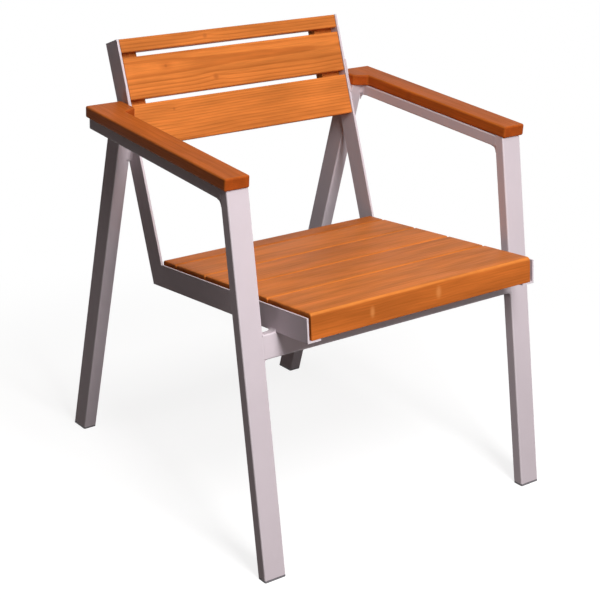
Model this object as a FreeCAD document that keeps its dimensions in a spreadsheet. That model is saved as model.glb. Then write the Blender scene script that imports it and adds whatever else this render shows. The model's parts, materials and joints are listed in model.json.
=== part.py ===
import FreeCAD
import Part
import Sketcher
import os

# Garden armchair: a welded steel frame that carries timber slats and armrest boards.
# Millimetres and degrees. +Z is up, the sitter faces -Y and the sitter's left is +X.
# The origin is on the floor, under the middle of the chair.

SIZES = {
    # Widths across the chair
    "frame_width": 470,
    # Steel tube of the front legs, arm rails and cross tube
    "tube_face": 40,
    "tube_edge": 20,
    "tube_wall": 2,
    "tube_corner": 2.5,
    # Steel tube of the rear legs, 25 across the chair and 40 deep
    "rear_leg_edge": 25,
    "rear_leg_face": 40,
    # Flat bar of the back uprights and steel angle under the seat
    "bar_wide": 40,
    "bar_thick": 4,
    "angle_high": 40,
    "angle_foot": 25,
    "angle_thick": 3,
    # Heights, lengths and slopes of the side frame
    "arm_height": 621,
    "arm_rise": 4.56,
    "front_leg_lean": 8.48,
    "rear_leg_lean": 17.37,
    "rear_leg_inset": 4,
    "rail_setback": 8.5,
    # The upright is welded to the rear leg at this place
    "joint_drop": 17.5,
    "joint_reach": 278,
    "back_lean": 18.5,
    "back_length": 421,
    "seat_rise": 4.2,
    "seat_depth": 454,
    # Armrest boards, each with a wider head over the rear leg
    "board_wide": 45,
    "board_thick": 20,
    "board_length": 430,
    "board_lip": 3.4,
    "board_head": 46,
    "board_taper": 12,
    "board_round": 3,
    # Seat slats, from the front to the rear, with room behind the last one
    "seat_slat_thick": 43,
    "front_slat_wide": 112,
    "rear_slat_wide": 41,
    "seat_gap": 2,
    "rear_room": 26,
    "seat_end_gap": 4.5,
    "seat_round": 4,
    "front_round": 5,
    # Back slats, from the top down
    "top_slat_high": 24,
    "back_slat_high": 73,
    "back_slat_thick": 20,
    "back_gap": 8,
    "back_round": 2.5,
    "back_end_gap": 1,
    # Timber battens behind the back slats
    "batten_wide": 40,
    "batten_thick": 20,
    "batten_inset": 4,
    # Plastic plugs in the open tube ends
    "foot_thick": 3.5,
    "cap_thick": 3,
    "plug_insert": 16,
    "plug_play": 0.2,
    # Pan head screws with a hexagon socket
    "screw_shank": 4.5,
    "screw_play": 0.2,
    "screw_point": 4,
    "screw_tip": 1,
    "blunt_point": 0.6,
    "blunt_tip": 3.4,
    "screw_head": 9,
    "screw_head_high": 2.6,
    "socket_flats": 3,
    "socket_deep": 1.6,
    "seat_bite": 28,
    "arm_bite": 13,
    "back_bite": 11,
    "batten_bite": 3,
    "bar_hole": 3.4,
    "pilot_room": 1,
    "seat_screw_edge": 22,
    "seat_screw_inset": 8,
    "back_screw_edge": 18,
    "arm_screw_inset": 45,
}

# Places that follow from the sizes. A run is measured back from the front foot's front edge.
LAYOUT = {
    "half": "=sizes.frame_width / 2",
    "arm_inner": "=half + sizes.rear_leg_edge",
    "arm_middle": "=arm_inner + sizes.tube_face / 2",
    "arm_outer": "=arm_inner + sizes.board_wide",
    "rear_leg_middle": "=half + sizes.rear_leg_edge / 2",
    "bar_inner": "=half - sizes.bar_thick",
    "batten_middle": "=bar_inner - sizes.batten_wide / 2",
    "batten_inner": "=bar_inner - sizes.batten_wide",
    "seat_screw_across": "=half - sizes.angle_foot + sizes.seat_screw_inset",
    "seat_slat_length": "=sizes.frame_width - 2 * (sizes.angle_thick + sizes.seat_end_gap)",
    "back_slat_length": "=sizes.frame_width - 2 * (sizes.bar_thick + sizes.back_end_gap)",
    "cross_length": "=2 * arm_inner",
    # Side view of the arm and the rear leg
    "arm_run": "=sizes.arm_height * tan(sizes.front_leg_lean)",
    "board_end": "=sizes.board_length - sizes.board_lip",
    "rail_end": "=board_end - sizes.rail_setback",
    "rail_start": "=sizes.tube_edge / cos(sizes.front_leg_lean + sizes.arm_rise)",
    "rail_mitre": "=sizes.tube_edge * tan(sizes.front_leg_lean + sizes.arm_rise)",
    "leg_end": "=board_end - sizes.rear_leg_inset",
    "leg_end_run": "=arm_run + leg_end * cos(sizes.arm_rise)",
    "leg_end_high": "=sizes.arm_height + leg_end * sin(sizes.arm_rise)",
    "rear_run": "=leg_end_run + leg_end_high * tan(sizes.rear_leg_lean)",
    "front_leg_top": "=sizes.arm_height / cos(sizes.front_leg_lean)",
    "rear_leg_slope": "=sizes.arm_rise - sizes.rear_leg_lean",
    "rear_leg_back": "=leg_end_high / cos(sizes.rear_leg_lean)",
    "rear_leg_base": "=sizes.rear_leg_face * tan(sizes.rear_leg_lean)",
    "rear_leg_top": "=rear_leg_back - rear_leg_base - sizes.rear_leg_face * tan(rear_leg_slope)",
    # Weld of the upright on the rear leg, and the corner of seat and back below it
    "joint_along": "=rear_leg_back - sizes.rear_leg_face / 2 * tan(rear_leg_slope) - sizes.joint_drop",
    "joint_in": "=sizes.rear_leg_face / 2 * cos(sizes.rear_leg_lean)",
    "joint_run": "=rear_run - joint_in - joint_along * sin(sizes.rear_leg_lean)",
    "joint_sink": "=sizes.rear_leg_face / 2 * sin(sizes.rear_leg_lean)",
    "joint_high": "=joint_along * cos(sizes.rear_leg_lean) - joint_sink",
    "corner_back": "=sizes.bar_wide / 2 * cos(sizes.back_lean)",
    "corner_run": "=joint_run - sizes.joint_reach * sin(sizes.back_lean) + corner_back",
    "corner_sink": "=sizes.bar_wide / 2 * sin(sizes.back_lean)",
    "corner_high": "=joint_high - sizes.joint_reach * cos(sizes.back_lean) - corner_sink",
    "nose_run": "=corner_run - sizes.seat_depth * cos(sizes.seat_rise)",
    "corner_turn": "=sizes.back_lean - sizes.seat_rise",
    "mitre_rise": "=(sizes.angle_high - sizes.bar_wide * sin(corner_turn)) / cos(corner_turn)",
    "mitre_back": "=mitre_rise * sin(corner_turn) - sizes.bar_wide * cos(corner_turn)",
    "angle_foot_end": "=mitre_back * sizes.angle_thick / sizes.angle_high",
    # The cross tube touches the seat angles from below, flush with the front of the legs
    "cross_run": "=corner_run - corner_high * tan(sizes.front_leg_lean)",
    "cross_slope": "=cos(sizes.seat_rise) + sin(sizes.seat_rise) * tan(sizes.front_leg_lean)",
    "cross_along": "=cross_run / cross_slope",
    "cross_high": "=corner_high + cross_along * sin(sizes.seat_rise)",
    "cross_top": "=cross_high / cos(sizes.front_leg_lean)",
    # The front slat's screws stand near its edges, or beside the cross tube where they would meet it
    "tube_front": "=-cross_along - sizes.screw_head",
    "tube_rear": "=-cross_along + sizes.tube_edge + sizes.screw_head",
    "beside_tube": "=tube_front > sizes.screw_head - sizes.seat_depth ? tube_front : tube_rear",
    "front_pair": "=sizes.seat_screw_edge - sizes.seat_depth",
    "rear_pair": "=front_pair + sizes.front_slat_wide - 2 * sizes.seat_screw_edge",
    "first_pair": "=front_pair < tube_front ? front_pair : (front_pair > tube_rear ? front_pair : beside_tube)",
    "second_pair": "=rear_pair < tube_front ? rear_pair : (rear_pair > tube_rear ? rear_pair : beside_tube)",
    # The chair's length is centred on the origin
    "foot_y": "=-(nose_run + rear_run) / 2",
    "rear_foot_y": "=foot_y + rear_run - sizes.rear_leg_face / cos(sizes.rear_leg_lean)",
    "arm_y": "=foot_y + arm_run",
    "corner_y": "=foot_y + corner_run",
    # Rows of slats
    "seat_front": "=-sizes.seat_depth",
    "slats_and_gaps": "=sizes.front_slat_wide + sizes.rear_slat_wide + 4 * sizes.seat_gap",
    "middle_slat_wide": "=(sizes.seat_depth - slats_and_gaps - sizes.rear_room) / 3",
    "second_slat": "=seat_front + sizes.front_slat_wide + sizes.seat_gap",
    "third_slat": "=second_slat + middle_slat_wide + sizes.seat_gap",
    "fourth_slat": "=third_slat + middle_slat_wide + sizes.seat_gap",
    "fifth_slat": "=fourth_slat + middle_slat_wide + sizes.seat_gap",
    "slat_rear_face": "=-sizes.batten_thick",
    "slat_front_face": "=slat_rear_face - sizes.back_slat_thick",
    "top_slat": "=sizes.back_length - sizes.top_slat_high",
    "middle_slat": "=top_slat - sizes.back_gap - sizes.back_slat_high",
    "bottom_slat": "=middle_slat - sizes.back_gap - sizes.back_slat_high",
    "batten_low": "=bottom_slat + sizes.batten_inset",
    "batten_high": "=sizes.back_length - sizes.batten_inset",
    "plug_inset": "=sizes.tube_wall + sizes.plug_play",
    "hole_radius": "=sizes.screw_shank / 2 + sizes.screw_play",
}

# Local frames of the pieces: place in Y and Z, and turn about X
FRAMES = {
    "front_leg": ("layout.foot_y", "0", "-sizes.front_leg_lean"),
    "rear_leg": ("layout.rear_foot_y", "0", "sizes.rear_leg_lean"),
    "arm": ("layout.arm_y", "sizes.arm_height", "sizes.arm_rise"),
    "seat": ("layout.corner_y", "layout.corner_high", "-sizes.seat_rise"),
    "back": ("layout.corner_y", "layout.corner_high", "-sizes.back_lean"),
}

SIDES = {"left": "", "right": "-1 * "}
ALONG_X = FreeCAD.Vector(1, 0, 0)
ALONG_Y = FreeCAD.Vector(0, 1, 0)
ALONG_Z = FreeCAD.Vector(0, 0, 1)
NEAR = 0.001
HEXAGON = 6

doc = FreeCAD.newDocument("garden_armchair")
pieces = []


def fill_sheet(name, cells):
    """Write named cells down the first column of a new sheet."""
    sheet = doc.addObject("Spreadsheet::Sheet", name)
    for row, (alias, content) in enumerate(cells.items(), 1):
        cell = "A%d" % row
        sheet.set(cell, str(content))
        sheet.setAlias(cell, alias)
    doc.recompute()
    return sheet


sizes = fill_sheet("sizes", SIZES)
layout = fill_sheet("layout", LAYOUT)


def value(formula):
    """Number that a formula of the sheets stands for."""
    return float(sizes.evalExpression(formula))


def frame_formula(frame, across="0"):
    """Placement formula of a local frame, moved across the chair."""
    back, up, turn = FRAMES[frame]
    place = "vector(%s; %s; %s)" % (across, back, up)
    return "placement(%s; rotation(vector(1; 0; 0); %s))" % (place, turn)


def piece(name, frame, across="0"):
    """New body that stands in one of the local frames."""
    body = doc.addObject("PartDesign::Body", name)
    body.Label = name
    body.setExpression("Placement", frame_formula(frame, across))
    pieces.append(body)
    return body


def new_sketch(body, name, plane, lift):
    """Empty sketch on one of the body's own planes, raised along the plane's normal."""
    sketch = body.newObject("Sketcher::SketchObject", name)
    support = next(item for item in body.Origin.OriginFeatures if item.Role == plane)
    sketch.AttachmentSupport = (support, [""])
    sketch.MapMode = "FlatFace"
    sketch.setExpression("AttachmentOffset.Base.z", lift)
    return sketch


def pin_point(sketch, geometry, point, place):
    """Tie one point of a sketch to a pair of formulas, measured from the sketch's origin."""
    for kind, formula in zip(("DistanceX", "DistanceY"), place):
        rule = Sketcher.Constraint(kind, -1, 1, geometry, point, value(formula))
        index = sketch.addConstraint(rule)
        sketch.setExpression("Constraints[%d]" % index, formula)


def outline(body, name, plane, corners, lift="0"):
    """Closed sketch with straight sides. Each corner is a pair of formulas."""
    sketch = new_sketch(body, name, plane, lift)
    points = [FreeCAD.Vector(value(u), value(v), 0) for u, v in corners]
    count = len(points)
    for index in range(count):
        sketch.addGeometry(Part.LineSegment(points[index], points[(index + 1) % count]), False)
    for index in range(count):
        following = (index + 1) % count
        sketch.addConstraint(Sketcher.Constraint("Coincident", index, 2, following, 1))
    for index, corner in enumerate(corners):
        pin_point(sketch, index, 1, corner)
    return sketch


def rectangle(low, high):
    """Four corners from a low and a high corner, each a pair of formulas."""
    return [low, (high[0], low[1]), high, (low[0], high[1])]


def pad(body, name, sketch, length, side_type="Symmetric"):
    """Solid of a sketch, to both sides of it or along its normal."""
    feature = body.newObject("PartDesign::Pad", name)
    feature.Profile = sketch
    feature.SideType = side_type
    feature.setExpression("Length", length)
    doc.recompute()
    return feature


def pocket(body, name, sketch, length, side_type="Symmetric", with_normal=False):
    """Cut of a sketch. The volume has to fall, or the cut missed the solid."""
    before = body.Shape.Volume
    feature = body.newObject("PartDesign::Pocket", name)
    feature.Profile = sketch
    feature.SideType = side_type
    feature.Reversed = with_normal
    feature.setExpression("Length", length)
    doc.recompute()
    if body.Shape.Volume > before - NEAR:
        raise RuntimeError("%s cuts nothing" % name)
    return feature


def runs_along(edge, direction):
    """Tell whether a straight edge lies along a direction."""
    if not isinstance(edge.Curve, Part.Line):
        return False
    return abs(edge.Curve.Direction.dot(direction)) > 1 - NEAR


def round_edges(body, name, radius, chosen):
    """Round the edges of the body's last feature that a test picks."""
    base = body.Tip
    picked = ["Edge%d" % (n + 1) for n, edge in enumerate(base.Shape.Edges) if chosen(edge)]
    feature = body.newObject("PartDesign::Fillet", name)
    feature.Base = (base, picked)
    feature.setExpression("Radius", radius)
    doc.recompute()
    return feature


def drill(body, name, plane, places, depth, with_normal=True, lift="0", side_type="One side"):
    """Row of round screw holes that start in the sketch's plane, or go to both sides of it."""
    sketch = new_sketch(body, name + "_places", plane, lift)
    for place in places:
        centre = FreeCAD.Vector(value(place[0]), value(place[1]), 0)
        circle = Part.Circle(centre, ALONG_Z, value("layout.hole_radius"))
        geometry = sketch.addGeometry(circle, False)
        pin_point(sketch, geometry, 3, place)
        rule = Sketcher.Constraint("Radius", geometry, value("layout.hole_radius"))
        index = sketch.addConstraint(rule)
        sketch.setExpression("Constraints[%d]" % index, "layout.hole_radius")
    return pocket(body, name, sketch, depth, side_type, with_normal)


def tube(name, frame, across, wall, bore, wide, long_way):
    """Square cut tube: side outline, rounded corners, and a bore that runs out at both ends."""
    body = piece(name, frame, across)
    side = outline(body, name + "_side", "YZ_Plane", wall)
    pad(body, name + "_wall", side, wide)
    round_edges(body, name + "_corners", "sizes.tube_corner", lambda edge: runs_along(edge, long_way))
    hollow = outline(body, name + "_hollow", "YZ_Plane", bore)
    pocket(body, name + "_bore", hollow, wide + " - 2 * sizes.tube_wall")
    return body


def plug(name, frame, across, flange, insert, wide, long_way):
    """Plastic plug: a flange that covers the tube's end and an insert that fills its bore."""
    body = piece(name, frame, across)
    cover = outline(body, name + "_cover", "YZ_Plane", flange)
    pad(body, name + "_flange", cover, wide)
    round_edges(body, name + "_corners", "sizes.tube_corner", lambda edge: runs_along(edge, long_way))
    core = outline(body, name + "_core", "YZ_Plane", insert)
    pad(body, name + "_insert", core, wide + " - 2 * layout.plug_inset")
    return body


# Legs: both kinds stand on the floor and end under the sloping armrest.
def make_leg(name, frame, across, lean, deep, wide, top):
    """Leaning leg and the plug in its foot."""
    def floor(depth, height):
        return "(%s + %s * sin(%s)) / cos(%s)" % (height, depth, lean, lean)

    arm_slope = "tan(%s + sizes.arm_rise)" % lean
    wall = [
        ("0", floor("0", "sizes.foot_thick")),
        (deep, floor(deep, "sizes.foot_thick")),
        (deep, "%s + %s * %s" % (top, deep, arm_slope)),
        ("0", top),
    ]
    inner = "%s - sizes.tube_wall" % deep
    bore = rectangle(("sizes.tube_wall", "-2 * %s" % deep), (inner, "%s + %s" % (top, deep)))
    tube(name, frame, across, wall, bore, wide, ALONG_Z)

    flange = [
        ("0", "0"),
        (deep, floor(deep, "0")),
        (deep, floor(deep, "sizes.foot_thick")),
        ("0", floor("0", "sizes.foot_thick")),
    ]
    near = "layout.plug_inset"
    far = "(%s - layout.plug_inset)" % deep
    insert = [
        (near, floor(near, "sizes.foot_thick / 2")),
        (far, floor(far, "sizes.foot_thick / 2")),
        (far, floor(far, "sizes.plug_insert")),
        (near, floor(near, "sizes.plug_insert")),
    ]
    plug(name + "_foot", frame, across, flange, insert, wide, ALONG_Z)


for side, sign in SIDES.items():
    make_leg(
        side + "_front_leg",
        "front_leg",
        sign + "layout.arm_middle",
        "sizes.front_leg_lean",
        "sizes.tube_edge",
        "sizes.tube_face",
        "layout.front_leg_top",
    )
    make_leg(
        side + "_rear_leg",
        "rear_leg",
        sign + "layout.rear_leg_middle",
        "(-1 * sizes.rear_leg_lean)",
        "sizes.rear_leg_face",
        "sizes.rear_leg_edge",
        "layout.rear_leg_top",
    )

# Arm rails butt against the rear of the front legs and pass outside the rear legs.
ARM_SCREW_RUNS = [
    "sizes.arm_screw_inset",
    "layout.rail_end / 2",
    "layout.rail_end - sizes.arm_screw_inset",
]


def make_arm_rail(side, sign):
    """Arm rail with its screw holes, and the cap on its rear end."""
    across = sign + "layout.arm_middle"
    wall = [
        ("layout.rail_start", "0"),
        ("layout.rail_end", "0"),
        ("layout.rail_end", "-sizes.tube_edge"),
        ("layout.rail_start - layout.rail_mitre", "-sizes.tube_edge"),
    ]
    low = ("-sizes.tube_edge", "sizes.tube_wall - sizes.tube_edge")
    high = ("layout.rail_end + sizes.tube_edge", "-sizes.tube_wall")
    name = side + "_arm_rail"
    body = tube(name, "arm", across, wall, rectangle(low, high), "sizes.tube_face", ALONG_Y)
    places = [("0", run) for run in ARM_SCREW_RUNS]
    drill(body, name + "_holes", "XY_Plane", places, "2 * sizes.tube_edge", False)

    low = ("layout.rail_end", "-sizes.tube_edge")
    high = ("layout.rail_end + sizes.cap_thick", "0")
    core_low = ("layout.rail_end - sizes.plug_insert", "layout.plug_inset - sizes.tube_edge")
    core_high = ("layout.rail_end + sizes.cap_thick / 2", "-layout.plug_inset")
    flange = rectangle(low, high)
    insert = rectangle(core_low, core_high)
    plug(name + "_cap", "arm", across, flange, insert, "sizes.tube_face", ALONG_Y)


def make_armrest_board(side, sign):
    """Timber board on the rail, with a head that widens inwards over the rear leg."""
    name = side + "_armrest_board"
    body = piece(name, "arm")
    head_start = "layout.board_end - sizes.board_head"
    outside = sign + "layout.arm_outer"
    inside = sign + "layout.arm_inner"
    head = sign + "layout.half"
    corners = [
        (outside, "-sizes.board_lip"),
        (outside, "layout.board_end"),
        (head, "layout.board_end"),
        (head, head_start),
        (inside, head_start + " - sizes.board_taper"),
        (inside, "-sizes.board_lip"),
    ]
    plan = outline(body, name + "_plan", "XY_Plane", corners)
    pad(body, name + "_blank", plan, "sizes.board_thick", "One side")
    top = value("sizes.board_thick")
    round_edges(
        body,
        name + "_arris",
        "sizes.board_round",
        lambda edge: all(abs(corner.Z - top) < NEAR for corner in edge.Vertexes),
    )
    places = [(sign + "layout.arm_middle", run) for run in ARM_SCREW_RUNS]
    drill(body, name + "_pilots", "XY_Plane", places, "sizes.arm_bite + sizes.pilot_room")


for side, sign in SIDES.items():
    make_arm_rail(side, sign)
    make_armrest_board(side, sign)


# Seat angles and back uprights meet in a mitre at the corner of seat and back.
BATTEN_SCREW_RISES = [
    "layout.middle_slat + sizes.back_slat_high / 2",
    "layout.bottom_slat + sizes.back_slat_high / 2",
]
BATTEN_SCREW_PLACES = [("-sizes.batten_thick / 2", rise) for rise in BATTEN_SCREW_RISES]


def make_upright(side, sign):
    """Flat bar that carries the back, with its foot cut to the mitre and blind holes for the batten."""
    name = side + "_back_upright"
    body = piece(name, "back")
    corners = [
        ("0", "0"),
        ("0", "sizes.back_length"),
        ("-sizes.bar_wide", "sizes.back_length"),
        ("-sizes.bar_wide", "layout.mitre_rise"),
    ]
    lift = sign + "(layout.half - sizes.bar_thick / 2)"
    side_view = outline(body, name + "_side", "YZ_Plane", corners, lift)
    pad(body, name + "_bar", side_view, "sizes.bar_thick")
    inner = sign + "layout.bar_inner"
    outwards = side == "left"
    drill(body, name + "_holes", "YZ_Plane", BATTEN_SCREW_PLACES, "sizes.bar_hole", outwards, inner)


# Seat slats: first edge, width, and the places of the screws along the seat
def two_screws(start, wide):
    """Screw runs near both edges of a wide seat slat."""
    return [start + " + sizes.seat_screw_edge", "%s + %s - sizes.seat_screw_edge" % (start, wide)]


SEAT_SLATS = {
    "front_seat_slat": ("layout.seat_front", "sizes.front_slat_wide"),
    "second_seat_slat": ("layout.second_slat", "layout.middle_slat_wide"),
    "third_seat_slat": ("layout.third_slat", "layout.middle_slat_wide"),
    "fourth_seat_slat": ("layout.fourth_slat", "layout.middle_slat_wide"),
}
REAR_SLAT = ("layout.fifth_slat", "sizes.rear_slat_wide")
SEAT_SCREW_RUNS = {name: two_screws(*row) for name, row in SEAT_SLATS.items()}
# The front slat's screws keep clear of the cross tube.
SEAT_SCREW_RUNS["front_seat_slat"] = ["layout.first_pair", "layout.second_pair"]
SEAT_SLATS["rear_seat_slat"] = REAR_SLAT
SEAT_SCREW_RUNS["rear_seat_slat"] = ["%s + %s / 2" % REAR_SLAT]


def seat_screw_places(runs):
    """Screw places at both ends of the seat slats."""
    return [(sign + "layout.seat_screw_across", run) for sign in SIDES.values() for run in runs]


def make_seat_angle(side, sign):
    """Steel angle with an upright flange outside and a foot inwards under the slats."""
    name = side + "_seat_angle"
    body = piece(name, "seat")
    corners = [
        ("0", "0"),
        ("layout.mitre_back", "sizes.angle_high"),
        ("layout.seat_front", "sizes.angle_high"),
        ("layout.seat_front", "0"),
    ]
    lift = sign + "(layout.half - sizes.angle_thick / 2)"
    side_view = outline(body, name + "_side", "YZ_Plane", corners, lift)
    pad(body, name + "_flange", side_view, "sizes.angle_thick")
    foot = rectangle(
        (sign + "(layout.half - sizes.angle_thick)", "layout.seat_front"),
        (sign + "(layout.half - sizes.angle_foot)", "layout.angle_foot_end"),
    )
    plan = outline(body, name + "_plan", "XY_Plane", foot)
    pad(body, name + "_foot", plan, "sizes.angle_thick", "One side")
    runs = [run for row in SEAT_SCREW_RUNS.values() for run in row]
    places = [(sign + "layout.seat_screw_across", run) for run in runs]
    drill(body, name + "_holes", "XY_Plane", places, "2 * sizes.angle_thick")


def make_seat_slat(name, start, wide):
    """Seat slat on the feet of the angles, with rounded upper arrises."""
    body = piece(name, "seat")
    reach = "layout.seat_slat_length / 2"
    plan = rectangle(("-" + reach, start), (reach, "%s + %s" % (start, wide)))
    sketch = outline(body, name + "_plan", "XY_Plane", plan, "sizes.angle_thick")
    pad(body, name + "_blank", sketch, "sizes.seat_slat_thick", "One side")
    top = value("sizes.angle_thick + sizes.seat_slat_thick")
    front = value(start)
    rear = value("%s + %s" % (start, wide))

    def upper_arris(edge):
        return runs_along(edge, ALONG_X) and abs(edge.Vertexes[0].Z - top) < NEAR

    def nose(edge):
        return upper_arris(edge) and abs(edge.Vertexes[0].Y - front) < NEAR

    def rear_arris(edge):
        return upper_arris(edge) and abs(edge.Vertexes[0].Y - rear) < NEAR

    if name == "front_seat_slat":
        round_edges(body, name + "_nose", "sizes.front_round", nose)
        round_edges(body, name + "_arris", "sizes.seat_round", rear_arris)
    else:
        round_edges(body, name + "_arris", "sizes.seat_round", upper_arris)
    depth = "sizes.angle_thick + sizes.seat_bite + sizes.pilot_room"
    drill(body, name + "_pilots", "XY_Plane", seat_screw_places(SEAT_SCREW_RUNS[name]), depth)


for side, sign in SIDES.items():
    make_upright(side, sign)
    make_seat_angle(side, sign)
for name, (start, wide) in SEAT_SLATS.items():
    make_seat_slat(name, start, wide)


def make_cross_tube():
    """Tube that joins the front legs and carries the seat angles."""
    low = "layout.cross_top - sizes.tube_face"
    wall = rectangle(("0", low), ("sizes.tube_edge", "layout.cross_top"))
    bore = rectangle(
        ("sizes.tube_wall", low + " + sizes.tube_wall"),
        ("sizes.tube_edge - sizes.tube_wall", "layout.cross_top - sizes.tube_wall"),
    )
    name = "front_cross_tube"
    body = piece(name, "front_leg")
    pad(body, name + "_wall", outline(body, name + "_side", "YZ_Plane", wall), "layout.cross_length")
    round_edges(body, name + "_corners", "sizes.tube_corner", lambda edge: runs_along(edge, ALONG_X))
    hollow = outline(body, name + "_hollow", "YZ_Plane", bore)
    pocket(body, name + "_bore", hollow, "2 * layout.cross_length")


make_cross_tube()

# Back slats and the battens behind them that carry them
BACK_SLATS = {
    "top_back_slat": ("layout.top_slat", "sizes.top_slat_high"),
    "middle_back_slat": ("layout.middle_slat", "sizes.back_slat_high"),
    "bottom_back_slat": ("layout.bottom_slat", "sizes.back_slat_high"),
}
BACK_SCREW_RISES = {
    "top_back_slat": ["layout.top_slat + sizes.top_slat_high / 2"],
    "middle_back_slat": [
        "layout.middle_slat + sizes.back_screw_edge",
        "layout.middle_slat + sizes.back_slat_high - sizes.back_screw_edge",
    ],
    "bottom_back_slat": [
        "layout.bottom_slat + sizes.back_screw_edge",
        "layout.bottom_slat + sizes.back_slat_high - sizes.back_screw_edge",
    ],
}


def back_screw_places(rises):
    """Screw places at both ends of the back slats."""
    return [(sign + "layout.batten_middle", rise) for sign in SIDES.values() for rise in rises]


def make_back_slat(name, low, high):
    """Back slat between the uprights, with rounded front arrises."""
    body = piece(name, "back")
    section = rectangle(
        ("layout.slat_front_face", low),
        ("layout.slat_rear_face", "%s + %s" % (low, high)),
    )
    sketch = outline(body, name + "_section", "YZ_Plane", section)
    pad(body, name + "_blank", sketch, "layout.back_slat_length")
    front = value("layout.slat_front_face")
    round_edges(
        body,
        name + "_arris",
        "sizes.back_round",
        lambda edge: runs_along(edge, ALONG_X) and abs(edge.Vertexes[0].Y - front) < NEAR,
    )
    depth = "sizes.batten_thick + sizes.back_bite + sizes.pilot_room"
    drill(body, name + "_pilots", "XZ_Plane", back_screw_places(BACK_SCREW_RISES[name]), depth)


def make_batten(side, sign):
    """Batten on the inner face of an upright, behind the ends of the back slats."""
    name = side + "_back_batten"
    body = piece(name, "back", sign + "layout.batten_middle")
    section = rectangle(("-sizes.batten_thick", "layout.batten_low"), ("0", "layout.batten_high"))
    pad(body, name + "_blank", outline(body, name + "_side", "YZ_Plane", section), "sizes.batten_wide")
    round_edges(
        body,
        name + "_arris",
        "sizes.back_round",
        lambda edge: runs_along(edge, ALONG_Z) and abs(edge.Vertexes[0].Y) < NEAR,
    )
    places = [("0", rise) for row in BACK_SCREW_RISES.values() for rise in row]
    drill(body, name + "_slat_holes", "XZ_Plane", places, "2 * sizes.batten_thick")
    through = "2 * sizes.batten_wide"
    drill(body, name + "_bar_holes", "YZ_Plane", BATTEN_SCREW_PLACES, through, side_type="Symmetric")


for name, (low, high) in BACK_SLATS.items():
    make_back_slat(name, low, high)
for side, sign in SIDES.items():
    make_batten(side, sign)


# Screws: the head lies below the origin and the shank points upwards.
def screw(length, point, tip_wide):
    """Pan head screw with a hexagon socket and a point."""
    radius = value("sizes.screw_shank / 2")
    head_high = value("sizes.screw_head_high")
    foot = -head_high * ALONG_Z
    head = Part.makeCylinder(value("sizes.screw_head / 2"), head_high, foot)
    crown = [edge for edge in head.Edges if edge.Closed and edge.BoundBox.ZMax < NEAR - head_high]
    head = head.makeFillet(head_high / 2, crown)
    corner = FreeCAD.Vector(value("sizes.socket_flats / sqrt(3)"), 0, 0)
    turns = [FreeCAD.Rotation(ALONG_Z, step * 360 / HEXAGON) for step in range(HEXAGON + 1)]
    socket = Part.Face(Part.makePolygon([foot + turn.multVec(corner) for turn in turns]))
    head = head.cut(socket.extrude(value("sizes.socket_deep") * ALONG_Z))
    shank = Part.makeCylinder(radius, length - point)
    tip = Part.makeCone(radius, tip_wide / 2, point, (length - point) * ALONG_Z)
    return head.fuse([shank, tip]).removeSplitter()


def screw_group(name, frame, length, places, end="screw_point", tip="screw_tip"):
    """All the screws of one kind, each a solid of its own. A place is a turn and three formulas."""
    one = screw(value(length), value("sizes." + end), value("sizes." + tip))
    solids = []
    for turn, place in places:
        solid = one.copy()
        spot = FreeCAD.Vector(*[value(formula) for formula in place])
        solid.Placement = FreeCAD.Placement(spot, turn)
        solids.append(solid)
    group = doc.addObject("Part::Feature", name)
    group.Label = name
    group.Shape = Part.makeCompound(solids)
    group.setExpression("Placement", frame_formula(frame))
    pieces.append(group)


UPWARDS = FreeCAD.Rotation()
FORWARDS = FreeCAD.Rotation(ALONG_X, 90)
OUTWARDS = {"left": FreeCAD.Rotation(ALONG_Y, 90), "right": FreeCAD.Rotation(ALONG_Y, -90)}
arm_places = [
    (UPWARDS, (sign + "layout.arm_middle", run, "-sizes.tube_edge"))
    for sign in SIDES.values()
    for run in ARM_SCREW_RUNS
]
seat_runs = [run for row in SEAT_SCREW_RUNS.values() for run in row]
back_rises = [rise for row in BACK_SCREW_RISES.values() for rise in row]
seat_places = [(UPWARDS, (across, run, "0")) for across, run in seat_screw_places(seat_runs)]
back_places = [(FORWARDS, (across, "0", rise)) for across, rise in back_screw_places(back_rises)]
batten_places = [
    (OUTWARDS[side], (sign + "layout.batten_inner", back, rise))
    for side, sign in SIDES.items()
    for back, rise in BATTEN_SCREW_PLACES
]
screw_group("armrest_screws", "arm", "sizes.tube_edge + sizes.arm_bite", arm_places)
screw_group("seat_slat_screws", "seat", "sizes.angle_thick + sizes.seat_bite", seat_places)
screw_group("back_slat_screws", "back", "sizes.batten_thick + sizes.back_bite", back_places)
batten_screw_long = "sizes.batten_wide + sizes.batten_bite"
screw_group("batten_screws", "back", batten_screw_long, batten_places, "blunt_point", "blunt_tip")

# Every feature has to be whole before anything is written.
doc.recompute()
for item in doc.Objects:
    if "Invalid" in item.State or "Error" in item.State:
        raise RuntimeError("%s did not build: %s" % (item.Name, item.State))
for item in pieces:
    if item.Shape.isNull() or not item.Shape.isValid():
        raise RuntimeError("%s has no valid solid" % item.Label)

os.makedirs("parts", exist_ok=True)
for item in pieces:
    item.Shape.exportStep("parts/%s.step" % item.Label)
box = Part.makeCompound([item.Shape for item in pieces]).optimalBoundingBox(True, False)
print("%d pieces, %.1f wide, %.1f deep, %.1f high" % (len(pieces), box.XLength, box.YLength, box.ZLength))
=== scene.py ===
"""Garden armchair: a welded steel frame dressed with stained pine slats and armrest boards.

Metres. +Z is up, the sitter faces -Y and the sitter's left is +X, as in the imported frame.
"""

from __future__ import annotations

import json
import logging
import math
from dataclasses import dataclass
from enum import Enum
from typing import Any, Mapping, Sequence

import bmesh
import bpy
from mathutils import Euler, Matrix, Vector, noise

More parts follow.
